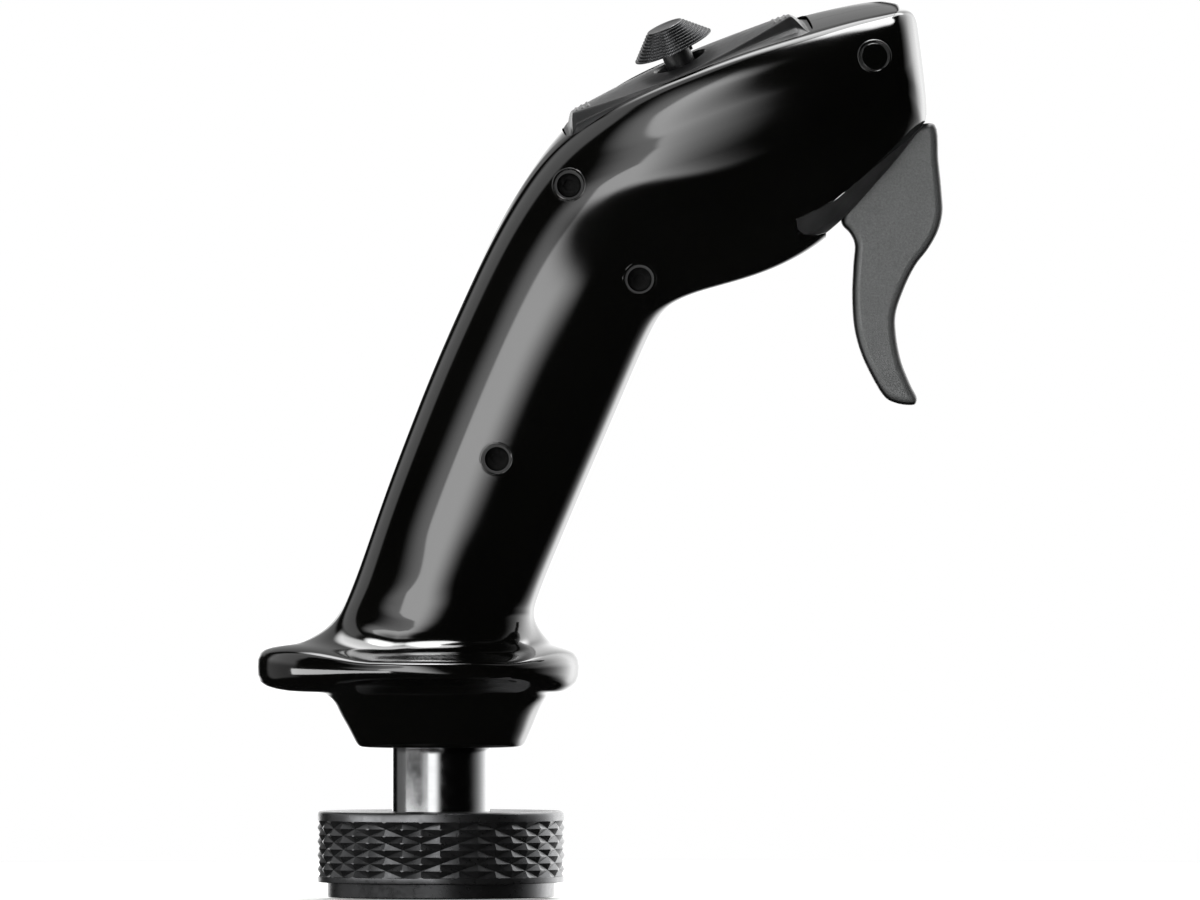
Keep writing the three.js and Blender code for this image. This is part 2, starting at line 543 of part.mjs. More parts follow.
function buildStem() {
  const [low, top] = [SEAT_HEIGHT, SEAT_HEIGHT + STEM_FLANGE_T];
  const keySlot = solid(block([12.9, 20], [-2.3, 2.3], [low - 1, top + 1]));
  const profile = [
    [STEM_BORE_R, low], [STEM_FLANGE_R, low], [STEM_FLANGE_R, top], [STEM_R, top], [STEM_R, STEM_TOP],
    [STEM_BORE_R, STEM_TOP], [STEM_BORE_R, low],
  ];
  addPart(stick, 'stem_tube', solid(turned(profile, 40)).subtract(keySlot), steel());
  addPart(stick, 'locating_key', block([13.2, 16.8], [-2, 2], [low - 3, top - GAP]), steel());

  const collarHeight = 50;
  const screwHoles = solid(acrossX(disc(1.8, -20, 20, 12), 0, collarHeight));
  addPart(stick, 'stem_collar', solid(tube(STEM_R + GAP, 15.6, 43.2, 57, 28)).subtract(screwHoles), anodised());
  addPart(stick, 'collar_screw_rear', acrossX(disc(1.5, -15.2, -STEM_R - GAP, 10), 0, collarHeight), steel());
  addPart(stick, 'collar_screw_front', acrossX(disc(1.5, STEM_R + GAP, 15.2, 10), 0, collarHeight), steel());

  const contacts = 5;
  let insert = solid(disc(STEM_BORE_R - GAP, low, low + 9, 32));
  for (let i = 0; i < contacts; i += 1) {
    const angle = (2 * Math.PI * i) / contacts;
    const place = (shape) => shape.translate(5.2 * Math.cos(angle), 5.2 * Math.sin(angle), 0);
    insert = insert.subtract(solid(place(disc(1.1, low - 1, low + 6.5, 10))));
    addPart(stick, `contact_${i + 1}`, place(disc(0.8, low + 0.5, low + 6.2, 8)), brass());
  }
  addPart(stick, 'connector_insert', insert, satinBlack());
}

function buildNut() {
  const lip = NUT_TOP - NUT_LIP_T;
  const profile = [
    [NUT_THREAD_R + 1.4, 0], [NUT_RING_R - 0.8, 0], [NUT_RING_R, 0.8], [NUT_RING_R, NUT_RING_TOP],
    [NUT_R - 0.6, NUT_RING_TOP], [NUT_R, NUT_RING_TOP + 0.6], [NUT_R, KNURL_LOW], [NUT_R - 0.5, KNURL_LOW + 0.3],
    [NUT_R - 0.5, KNURL_HIGH - 0.3], [NUT_R, KNURL_HIGH], [NUT_R, NUT_TOP - 0.9], [NUT_R - 0.9, NUT_TOP],
    [STEM_R + 1.2, NUT_TOP], [STEM_R + 0.5, NUT_TOP - 0.7], [STEM_R + 0.5, lip], [NUT_THREAD_R, lip],
    [NUT_THREAD_R, 0.9], [NUT_THREAD_R + 1.4, 0],
  ];
  addPart(stick, 'coupling_nut', turned(profile, 36), anodised());
  const flangeTop = SEAT_HEIGHT + STEM_FLANGE_T;
  addPart(stick, 'thrust_washer', tube(STEM_R + 0.5, 17.2, flangeTop + GAP, lip - GAP, 32), nylon());
}

function buildElectronics() {
  const onBoard = (geometry) => geometry.rotateY(BOARD_TILT).translate(BOARD_CENTRE.x, 0, BOARD_CENTRE.y);
  let plate = solid(onBoard(block([-12, 12], [BOARD_FACE, BOARD_FACE + BOARD_T], [-16, 16])));
  [-1, 1].forEach((end, i) => {
    const at = boardScrewAt(end);
    plate = plate.subtract(post(1.2 + GAP, -10, 10, at, 10));
    const screw = post(2.4, BOARD_FACE - 1.9, BOARD_FACE - GAP, at, 10).add(post(1.2, BOARD_FACE - 1, 10.5, at, 10));
    addPart(stick, `board_screw_${i + 1}`, screw, steel());
  });
  addPart(stick, 'main_board', plate, board());
  const front = [BOARD_FACE - 1.6, BOARD_FACE - GAP];
  addPart(stick, 'controller_chip', onBoard(block([-3.5, 3.5], front, [-3, 4])), satinBlack());
  const header = onBoard(block([-11, -4.5], [BOARD_FACE - 5, BOARD_FACE - GAP], [-13.5, -7.5]));
  addPart(stick, 'loom_header', header, nylon());
  const loom = [[0, 0, 22.6], [0, 0, 45], [0.5, 0, 64], [1.5, -1, 85], [3.5, -1, 104], [8, -1, 116], [11.4, 0, 121.4]];
  addPart(stick, 'wiring_loom', rod(loom, 1.5, 26), rubber());
  const hatLead = [[33.8, 1, 151.6], [39, 0, 163], [49, 0, 175], [57.5, 0, 182.8], [64.8, 0, 189.2]];
  addPart(stick, 'hat_lead', rod(hatLead, 0.9, 16, 6), rubber());
  const triggerLead = [[70.5, 3, 192], [78, 3, 189.5], [87, 3, 192], [93, 3, 195.8], [98.6, 3, 197.2]];
  addPart(stick, 'trigger_lead', rod(triggerLead, 0.7, 14, 6), rubber());
}

buildShells();
buildShellFasteners();
buildTrigger();
buildThumbPlate();
buildHat();
buildStem();
buildNut();
buildElectronics();
group.updateMatrixWorld(true);

export default group;
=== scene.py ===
"""Flight joystick grip on its quick-release coupling: the detailed surfaces, materials, light and camera.

Lengths are millimetres unless a name says otherwise. Shapes are written in the stick's own frame, which
has X forward, Y to the left and heights measured from the lower edge of the coupling nut.
"""

import math

import bmesh
import bpy
import numpy as np
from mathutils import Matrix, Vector
from mathutils.bvhtree import BVHTree


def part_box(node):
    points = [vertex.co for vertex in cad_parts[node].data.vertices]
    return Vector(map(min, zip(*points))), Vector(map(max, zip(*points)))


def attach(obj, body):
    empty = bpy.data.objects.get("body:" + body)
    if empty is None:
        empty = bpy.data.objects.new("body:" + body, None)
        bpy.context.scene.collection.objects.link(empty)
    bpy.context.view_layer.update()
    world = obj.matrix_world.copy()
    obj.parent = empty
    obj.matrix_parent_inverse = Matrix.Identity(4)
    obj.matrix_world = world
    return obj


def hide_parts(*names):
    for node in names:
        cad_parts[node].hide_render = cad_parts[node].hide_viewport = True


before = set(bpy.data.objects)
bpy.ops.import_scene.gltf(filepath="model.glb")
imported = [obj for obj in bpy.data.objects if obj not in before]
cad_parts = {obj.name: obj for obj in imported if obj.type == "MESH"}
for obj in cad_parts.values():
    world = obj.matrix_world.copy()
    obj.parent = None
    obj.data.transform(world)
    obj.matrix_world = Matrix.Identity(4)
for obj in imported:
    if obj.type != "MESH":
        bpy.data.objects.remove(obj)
for starter in ("Cube", "Light", "Camera"):
    if starter in bpy.data.objects:
        bpy.data.objects.remove(bpy.data.objects[starter])
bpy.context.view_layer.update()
MM = 0.001
NUT_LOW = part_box("coupling_nut")[0].z  # metres, in the row frame


# ---- sizes read from the frame ----
def stick_box(node):
    """The lowest and highest corners of a CAD node in the stick's own frame."""
    low, high = (np.array(corner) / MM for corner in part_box(node))
    lift = np.array([0, 0, NUT_LOW / MM])
    return low - lift, high - lift


def middle(node):
    low, high = stick_box(node)
    return (low + high) / 2


def heights(node):
    low, high = stick_box(node)
    return low[2], high[2]


GAP = 0.3  # between a piece and the hole it sits in
WALL = 2.4
SEAT, STEM_TOP = heights("stem_tube")
FLANGE_R = stick_box("stem_tube")[1][0]
FLANGE_TOP = SEAT + 3.7
STEM_R = 12.2
STEM_BORE_R = 9.5
NUT_R = stick_box("coupling_nut")[1][0]
NUT_TOP = heights("coupling_nut")[1]
TRIGGER_PIVOT = middle("trigger_pin")[[0, 2]]
SHELL_SCREWS = [middle(f"shell_screw_{i}")[[0, 2]] for i in (1, 2, 3, 4)]
SCREW_HEAD_R = 3
RECESS_FLOOR = stick_box("shell_screw_1")[0][1] + 3
RECESS_R = 3.6
RING_R = 4.3
SCREW_R = 1.5
SCREW_HOLE_R = 1.8
PIN_R = 1.5
PIN_HOLE_R = 1.8
THROUGH = 40  # more than the half width, for cutters that run right through

DECK_PITCH = math.radians(24)
DECK_ROLL = math.radians(11)
HAT_HOLE_R = 6.5
ROCKER_AXIS = -7  # up from the deck
ROCKER_PIN_R = 1.2
ROCKER_HOLE_R = 1.5
DECK_ORIGIN = np.array([59.7, 0, 208.9])  # the centre of the hat hole
DECK_ALONG = np.array([math.cos(DECK_PITCH), 0, math.sin(DECK_PITCH)])
DECK_UP = math.cos(DECK_ROLL) * np.array([-math.sin(DECK_PITCH), 0, math.cos(DECK_PITCH)])
DECK_UP = DECK_UP - math.sin(DECK_ROLL) * np.array([0, 1, 0])
DECK_LEFT = np.cross(DECK_UP, DECK_ALONG)


def smooth(low, high, value):
    t = np.clip((np.asarray(value, float) - low) / (high - low), 0, 1)
    return t * t * (3 - 2 * t)


# ---- mesh helpers ----
NEAR_AXIS = 0.01  # the radius that stands for the axis itself
OFF_SKIN = 0.03  # a point further than this from a skin is off it


def lofted(rings, joined_ends=False):
    """A grid of faces over rings of points, with flat ends, or with its last ring joined to its first."""
    rings = [np.asarray(r, float) for r in rings]
    n = len(rings[0])
    points = np.concatenate(rings)
    faces = []
    for i in range(len(rings) - (0 if joined_ends else 1)):
        a, b = i * n, ((i + 1) % len(rings)) * n
        faces += [(a + k, a + (k + 1) % n, b + (k + 1) % n, b + k) for k in range(n)]
    if not joined_ends:
        faces.append(tuple(range(n - 1, -1, -1)))
        faces.append(tuple(range(len(points) - n, len(points))))
    return points, faces


def bent(start, corner, end, share):
    """A point on the soft curve that leaves start and reaches end, and is drawn towards the corner."""
    return (1 - share) ** 2 * start + 2 * share * (1 - share) * corner + share * share * end


def filleted(outline, radius, steps=4, closed=True):
    """An outline whose corners are rounded. An open one keeps its two end points."""
    pts = [np.asarray(p, float) for p in outline]
    out = []
    for i, p in enumerate(pts):
        if not closed and i in (0, len(pts) - 1):
            out.append(p)
            continue
        a, b = pts[i - 1] - p, pts[(i + 1) % len(pts)] - p
        la, lb = np.linalg.norm(a), np.linalg.norm(b)
        a, b = a / la, b / lb
        half = math.acos(max(-1, min(1, float(a @ b)))) / 2
        reach = min(radius / max(math.tan(half), 1e-6), 0.45 * la, 0.45 * lb)
        out += [bent(p + a * reach, p, p + b * reach, k / steps) for k in range(steps + 1)]
    return np.array(out)


def rounded_corners(points, radii, steps):
    """The inner corners of an open outline, each rounded by its own radius."""
    out = []
    for i, radius in enumerate(radii):
        out += list(filleted(points[i : i + 3], radius, steps, closed=False)[1:-1])
    return out


def circle(radius, height, segments):
    """A ring of points about Z. The radius is one number, or one for each point."""
    angles = 2 * np.pi * np.arange(segments) / segments
    return np.stack([radius * np.cos(angles), radius * np.sin(angles), np.full(segments, height)], 1)


def turned(profile, segments, rounding, steps=3, on_axis=False):
    """A profile of (radius, height) corners, rounded and turned about Z.

    On the axis, the profile is open and its two ends lie near the axis and are closed with flat faces.
    """
    section = filleted(profile, rounding, steps, closed=not on_axis)
    return facing_out(*lofted([circle(r, z, segments) for r, z in section], joined_ends=not on_axis))


def rod(radius, low, high, segments=32, rounding=0.25, steps=3):
    """A round bar along Z whose rims are rounded."""
    profile = [(NEAR_AXIS, low), (radius, low), (radius, high), (NEAR_AXIS, high)]
    return turned(profile, segments, rounding, steps, on_axis=True)


def hoop(inner, outer, low, high, segments, rounding):
    return turned([(inner, low), (outer, low), (outer, high), (inner, high)], segments, rounding)


def blend(first, second, start, end, t):
    return (end - t) / (end - start) * first + (t - start) / (end - start) * second


def spline(points, per_span=6, closed=True):
    """A smooth curve through the points, by centripetal Catmull-Rom spans."""
    p = np.asarray(points, float)
    n = len(p)
    out = []
    for i in range(n if closed else n - 1):
        around = np.arange(i - 1, i + 3)
        row = p[around % n if closed else np.clip(around, 0, n - 1)]
        gaps = np.maximum(np.linalg.norm(np.diff(row, axis=0), axis=1), 1e-6) ** 0.5
        knots = np.concatenate([[0], np.cumsum(gaps)])
        for k in range(per_span):
            t = knots[1] + (knots[2] - knots[1]) * k / per_span
            points = row
            for reach in (1, 2):
                pairs = zip(points, points[1:], knots, knots[reach:])
                points = [blend(*pair, t) for pair in pairs]
            out.append(blend(*points, knots[1], knots[2], t))
    if not closed:
        out.append(p[-1])
    return np.array(out)


def slab(outline, y_low, y_high):
    """An outline of (x, height) points extruded across Y."""
    return facing_out(*lofted([[(x, y, z) for x, z in outline] for y in (y_low, y_high)]))


def brick(x, y, z, edge=0.0, steps=2):
    """A block with rounded edges; x, y and z are (low, high) pairs."""
    work = bmesh.new()
    bmesh.ops.create_cube(work, size=1)
    for v in work.verts:
        v.co = Vector([low + (high - low) * (c + 0.5) for c, (low, high) in zip(v.co, (x, y, z))])
    if edge > 0:
        bmesh.ops.bevel(work, geom=work.edges[:], offset=edge, segments=steps, profile=0.5, affect="EDGES")
    result = arrays_of(work)
    work.free()
    return result


def arrays_of(work):
    work.verts.index_update()
    return np.array([v.co[:] for v in work.verts]), [tuple(v.index for v in f.verts) for f in work.faces]


def facing_out(points, faces):
    """The same closed shape with doubled points merged and every face turned outwards."""
    work = bmesh.new()
    verts = [work.verts.new(p) for p in points]
    for face in faces:
        work.faces.new([verts[i] for i in face])
    bmesh.ops.remove_doubles(work, verts=work.verts, dist=1e-5)
    bmesh.ops.recalc_face_normals(work, faces=work.faces)
    result = arrays_of(work)
    work.free()
    return result


def moved(shape, offset):
    return np.asarray(shape[0], float) + np.asarray(offset, float), shape[1]


def laid(shape, origin, *axes):
    """A shape whose X, Y and Z are laid along three axes from an origin."""
    return moved((np.asarray(shape[0], float) @ np.array(axes, float), shape[1]), origin)


def across_y(shape, x, height):
    """A shape made along Z, laid along Y through (x, height)."""
    return laid(shape, (x, 0, height), (1, 0, 0), (0, 0, -1), (0, 1, 0))


def across_x(shape, height):
    """A shape made along Z, laid along X."""
    return laid(shape, (0, 0, height), (0, 0, -1), (0, 1, 0), (1, 0, 0))


def decked(shape):
    """A shape given as (along, left, up) from the centre of the hat hole, laid on the deck."""
    return laid(shape, DECK_ORIGIN, DECK_ALONG, DECK_LEFT, DECK_UP)


def joined(*shapes):
    """Several closed shapes in one mesh."""
    points, faces, base = [], [], 0
    for p, f in shapes:
        points.append(np.asarray(p, float))
        faces += [tuple(i + base for i in face) for face in f]
        base += len(p)
    return np.concatenate(points), faces


def tube_along(path, radius, sides=16):
    """A round tube along a list of points."""
    p = np.asarray(path, float)
    ahead = np.gradient(p, axis=0)
    ahead /= np.linalg.norm(ahead, axis=1)[:, None]
    side = np.cross(ahead[0], [0.3, 0.9, 0.2])
    rings = []
    around = circle(radius, 0, sides)
    for centre, forward in zip(path, ahead):
        side = side - forward * (side @ forward)
        side /= np.linalg.norm(side)
        rings.append(centre + np.outer(around[:, 0], side) + np.outer(around[:, 1], np.cross(forward, side)))
    return facing_out(*lofted(rings))


def coil(radius, wire, pitch, turns, low):
    """A spring of round wire about Z, which starts at the height low."""
    t = np.linspace(0, turns, turns * 32 + 1)
    angle = 2 * np.pi * t
    path = np.stack([radius * np.cos(angle), radius * np.sin(angle), low + pitch * t], 1)
    return tube_along(path, wire, 10)


def scratch(shape):
    """A short-lived object for one cut or union."""
    mesh = bpy.data.meshes.new("scratch")
    mesh.from_pydata([tuple(p) for p in shape[0]], [], shape[1])
    thing = bpy.data.objects.new("scratch", mesh)
    bpy.context.scene.collection.objects.link(thing)
    return thing


def combine(base, tool, operation):
    """The exact union, difference or intersection of two closed shapes."""
    a, b = scratch(base), scratch(tool)
    cut = a.modifiers.new("cut", "BOOLEAN")
    cut.solver = "MANIFOLD"
    cut.operation = operation
    cut.object = b
    mesh = bpy.data.meshes.new_from_object(a.evaluated_get(bpy.context.evaluated_depsgraph_get()))
    points = np.zeros(len(mesh.vertices) * 3)
    mesh.vertices.foreach_get("co", points)
    result = points.reshape(-1, 3), [tuple(f.vertices) for f in mesh.polygons]
    for thing in (a, b):
        old = thing.data
        bpy.data.objects.remove(thing)
        bpy.data.meshes.remove(old)
    bpy.data.meshes.remove(mesh)
    if not result[1]:
        raise RuntimeError(f"{operation} of two shapes left nothing")
    return result


def cut(base, *tools):
    for tool in tools:
        base = combine(base, tool, "DIFFERENCE")
    return base


def united(base, *tools):
    for tool in tools:
        base = combine(base, tool, "UNION")
    return base


def common(base, tool):
    return combine(base, tool, "INTERSECT")


class Skin:
    """A smooth uncut surface, which lends its normals to the pieces cut from it."""

    def __init__(self, shape):
        self.points = np.asarray(shape[0], float)
        self.faces = [f for f in shape[1] if len(f) <= 4]
        self.tree = BVHTree.FromPolygons([tuple(p) for p in self.points], self.faces)
        normals = np.zeros_like(self.points)
        for face in self.faces:
            p = self.points[list(face)]
            normal = np.cross(p[2] - p[0], p[-1] - p[1])
            for i in face:
                normals[i] += normal
        self.normals = normals / np.maximum(np.linalg.norm(normals, axis=1), 1e-9)[:, None]

    def at(self, point):
        """The smooth normal at a point and the flat one there, or None twice when it is off the surface."""
        place, flat, index, _ = self.tree.find_nearest(Vector(point), OFF_SKIN)
        if place is None:
            return None, None
        corners = list(self.faces[index])
        gaps = [1 / (1e-9 + np.sum((self.points[i] - point) ** 2)) for i in corners]
        normal = sum(g * self.normals[i] for g, i in zip(gaps, corners))
        return normal / np.linalg.norm(normal), np.array(flat)

    def depth_at(self, x, height):
        """Where a line along Y from the right side meets the surface."""
        return self.tree.ray_cast(Vector((x, -60, height)), Vector((0, 1, 0)))[0].y


# ---- putting pieces into the scene ----
MOST_CORNERS = 7  # of a face on a cut shell
SAME_FACING = 0.9  # least cosine between a face and the skin that lends it normals
LEAN = 0.8  # least cosine between a face and a lent normal
FOLDED = 0.5  # least cosine between a face and a normal of its own


def show(name, shape, slot, replaces=(), body="grip", sharp=35, skin=None):
    """Adds one visible piece: a closed shape, its material, what it stands for and the body it rides on."""
    points = np.asarray(shape[0], float) * MM + np.array([0, 0, NUT_LOW])
    mesh = bpy.data.meshes.new(name)
    mesh.from_pydata([tuple(p) for p in points], [], shape[1])
    mesh.validate()
    if skin is not None:
        split_cut_faces(mesh)
    mesh.polygons.foreach_set("use_smooth", [True] * len(mesh.polygons))
    mesh.set_sharp_from_angle(angle=math.radians(sharp))
    mesh.materials.append(LOOKS[slot])
    if skin is not None:
        borrow_normals(mesh, skin)
    piece = bpy.data.objects.new(name, mesh)
    bpy.context.scene.collection.objects.link(piece)
    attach(piece, body)
    if replaces:
        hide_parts(*replaces)


def split_cut_faces(mesh):
    """Makes triangles of the faces that a cut left with many corners, so that each corner's normal holds."""
    work = bmesh.new()
    work.from_mesh(mesh)
    bmesh.ops.triangulate(work, faces=[f for f in work.faces if len(f.verts) > MOST_CORNERS])
    work.to_mesh(mesh)
    work.free()


def borrow_normals(mesh, skin):
    """Lends a skin's smooth normals to the corners that lie on it, and mends corners that lean far over."""
    corner_normals = [np.array(c.vector) for c in mesh.corner_normals]
    lift = NUT_LOW / MM
    known = {}
    for face in mesh.polygons:
        flat = np.array(face.normal)
        for k in face.loop_indices:
            v = mesh.loops[k].vertex_index
            if v not in known:
                known[v] = skin.at(np.array(mesh.vertices[v].co) / MM - np.array([0, 0, lift]))
            normal, surface = known[v]
            if normal is not None and flat @ surface > SAME_FACING and flat @ normal > LEAN:
                corner_normals[k] = normal
            elif flat @ corner_normals[k] < FOLDED:
                corner_normals[k] = flat
    mesh.normals_split_custom_set([tuple(n) for n in corner_normals])


# ---- materials ----
class NodeTree:
    """A tree of shader nodes, which are added with their sockets filled in."""

    def __init__(self, tree):
        self.tree = tree

    def fill(self, socket, value):
        """Links an output to the socket, or sets the socket to a plain value."""
        if isinstance(value, bpy.types.NodeSocket):
            self.tree.links.new(value, socket)
        else:
            socket.default_value = value

    def add(self, kind, **sockets):
        """A new node with the named sockets filled. A low line in a socket's name stands for a space."""
        node = self.tree.nodes.new("ShaderNode" + kind)
        for name, value in sockets.items():
            self.fill(node.inputs[name.replace("_", " ")], value)
        return node

    def maths(self, operation, *values):
        node = self.add("Math")
        node.operation = operation
        for socket, value in zip(node.inputs, values):
            self.fill(socket, value)
        return node.outputs[0]


class Look(NodeTree):
    """A Principled material whose colour, roughness and relief come from patterns in object space."""

    def __init__(self, name, metallic=0.0, ior=1.5, specular=0.5):
        self.material = bpy.data.materials.new(name)
        self.material.use_nodes = True
        super().__init__(self.material.node_tree)
        self.shader = self.tree.nodes["Principled BSDF"]
        self.shader.inputs["Metallic"].default_value = metallic
        self.shader.inputs["IOR"].default_value = ior
        self.shader.inputs["Specular IOR Level"].default_value = specular
        self.place = self.add("TexCoord").outputs["Object"]

    def noise(self, size, detail=2.0, rough=0.5, stretch=(1, 1, 1)):
        """Noise whose features are about size millimetres across."""
        place = self.add("Mapping", Vector=self.place, Scale=stretch).outputs["Vector"]
        scale = 1 / (size * MM)
        return self.add("TexNoise", Vector=place, Scale=scale, Detail=detail, Roughness=rough).outputs["Fac"]

    def spots(self, size):
        """Distance to the nearest of many scattered points, about size millimetres apart."""
        return self.add("TexVoronoi", Vector=self.place, Scale=1 / (size * MM)).outputs["Distance"]

    def turning(self, pitch):
        """Fine bands across Z, as a lathe leaves them, about pitch millimetres apart."""
        wave = self.add("TexNoise", Scale=1 / (pitch * MM), Detail=3)
        wave.noise_dimensions = "1D"
        self.fill(wave.inputs["W"], self.add("SeparateXYZ", Vector=self.place).outputs["Z"])
        return wave.outputs["Fac"]

    def on_sides(self, inner, outer):
        """0 near the middle plane and 1 beyond the outer distance from it, in millimetres."""
        away = self.maths("ABSOLUTE", self.add("SeparateXYZ", Vector=self.place).outputs["Y"])
        return self.between(away, 0, 1, inner * MM, outer * MM)

    def between(self, value, low, high, start=0.3, end=0.7):
        """Low up to the start of a pattern's range, high from its end, and a straight slope between."""
        node = self.add("MapRange", Value=value, From_Min=start, From_Max=end, To_Min=low, To_Max=high)
        return node.outputs["Result"]

    def colour(self, value, dark, light, start=0.3, end=0.7):
        ramp = self.add("ValToRGB", Fac=value)
        for element, place, shade in zip(ramp.color_ramp.elements, (start, end), (dark, light)):
            element.position = place
            element.color = (*shade, 1)
        self.fill(self.shader.inputs["Base Color"], ramp.outputs["Color"])

    def roughness(self, value, low, high):
        self.fill(self.shader.inputs["Roughness"], self.between(value, low, high))

    def relief(self, *layers):
        """Bumps, each a (pattern, height in millimetres, strength), one over the other."""
        under = None
        for value, height, strength in layers:
            bump = self.add("Bump", Distance=height * MM, Strength=strength, Height=value)
            if under is not None:
                self.fill(bump.inputs["Normal"], under)
            under = bump.outputs["Normal"]
        self.fill(self.shader.inputs["Normal"], under)


def gloss_black():
    look = Look("gloss_black", ior=1.52)
    haze = look.noise(24, detail=4, rough=0.6)
    look.colour(look.noise(60), (0.0008, 0.0008, 0.0007), (0.0018, 0.0018, 0.0016))
    look.roughness(haze, 0.055, 0.1)
    look.relief((look.noise(2.2, detail=1), 0.001, 0.4), (look.noise(0.3, detail=2), 0.0002, 0.2))
    return look.material


def satin_black():
    look = Look("satin_black", ior=1.5, specular=0.28)
    look.colour(look.noise(6, detail=5), (0.013, 0.0131, 0.0134), (0.022, 0.0222, 0.0227))
    look.roughness(look.noise(3, detail=4), 0.34, 0.46)
    look.relief((look.noise(0.16, detail=3, rough=0.7), 0.012, 0.5))
    return look.material


def blasted_grey():
    look = Look("blasted_grey", metallic=0.35, ior=1.5)
    grain = look.between(look.noise(0.5, detail=4, rough=0.8), 0.5, 1)
    # Painted shade: near the middle plane, on the trigger's rounded rim, the colour goes near-black to stand
    # in for the edges turning from the light. The side faces keep the pale blasted grain.
    grain_and_painted_rim_shade = look.maths("MULTIPLY", grain, look.on_sides(6, 6.5))
    look.colour(grain_and_painted_rim_shade, (0.006, 0.0061, 0.0062), (0.108, 0.111, 0.111), 0, 1)
    look.roughness(look.noise(5, detail=3), 0.36, 0.46)
    look.relief((look.spots(0.28), 0.05, 0.45), (look.noise(0.14, detail=3), 0.02, 0.5))
    return look.material


def anodised():
    look = Look("anodised", metallic=0.92)
    look.colour(look.noise(8, detail=5), (0.045, 0.04545, 0.0468), (0.068, 0.06868, 0.07072))
    look.roughness(look.noise(1.2, detail=4), 0.26, 0.34)
    look.relief((look.turning(0.12), 0.003, 0.4), (look.noise(0.25, detail=2), 0.003, 0.25))
    return look.material


def turned_steel():
    look = Look("turned_steel", metallic=1.0)
    rings = look.turning(0.09)
    look.colour(rings, (0.12, 0.1212, 0.1224), (0.17, 0.1717, 0.1734), 0.2, 0.8)
    look.roughness(look.noise(3, detail=4), 0.11, 0.18)
    look.relief((rings, 0.0015, 0.4))
    return look.material


def blackened():
    look = Look("blackened_steel", ior=1.45, specular=0.12)
    look.colour(look.noise(1.2, detail=4), (0.003, 0.003, 0.003), (0.008, 0.008, 0.008))
    look.roughness(look.noise(0.8, detail=3), 0.42, 0.6)
    look.relief((look.noise(0.15, detail=3), 0.004, 0.4))
    return look.material


def brass():
    look = Look("brass", metallic=1.0)
    look.colour(look.noise(1.5, detail=4), (0.5, 0.33, 0.11), (0.68, 0.47, 0.18))
    look.roughness(look.noise(1, detail=3), 0.22, 0.34)
    look.relief((look.turning(0.08), 0.002, 0.4))
    return look.material


def circuit_board():
    look = Look("circuit_board", ior=1.5)
    weave = look.noise(1.6, detail=6, rough=0.75, stretch=(1, 0.3, 2.2))
    look.colour(weave, (0.008, 0.05, 0.018), (0.02, 0.14, 0.05))
    look.roughness(look.noise(2, detail=2), 0.3, 0.42)
    look.relief((look.noise(0.9, detail=2, stretch=(0.3, 1, 2)), 0.02, 0.5))
    return look.material


def nylon():
    look = Look("nylon", ior=1.53)
    look.colour(look.noise(5, detail=5), (0.5, 0.48, 0.42), (0.64, 0.62, 0.56))
    look.roughness(look.noise(2.5, detail=3), 0.42, 0.55)
    look.relief((look.noise(0.25, detail=4), 0.012, 0.5))
    look.shader.inputs["Subsurface Weight"].default_value = 0.08
    return look.material


def rubber():
    look = Look("rubber", ior=1.5)
    look.colour(look.noise(1.5, detail=4), (0.012, 0.012, 0.012), (0.024, 0.024, 0.024))
    look.roughness(look.noise(0.8, detail=3), 0.62, 0.8)
    look.relief((look.noise(0.3, detail=4), 0.02, 0.5))
    return look.material


def pale_floor():
    look = Look("pale_floor")
    look.colour(look.noise(180, detail=3), (0.56, 0.56, 0.555), (0.62, 0.62, 0.615))
    look.roughness(look.noise(40, detail=3), 0.75, 0.9)
    look.shader.inputs["Emission Color"].default_value = (1, 1, 0.985, 1)
    look.shader.inputs["Emission Strength"].default_value = 0.3
    return look.material


LOOKS = {
    "gloss_shell": gloss_black(),
    "satin_trim": satin_black(),
    "trigger_metal": blasted_grey(),
    "anodised_metal": anodised(),
    "bright_steel": turned_steel(),
    "black_steel": blackened(),
    "brass": brass(),
    "circuit_board": circuit_board(),
    "nylon": nylon(),
    "rubber": rubber(),
}


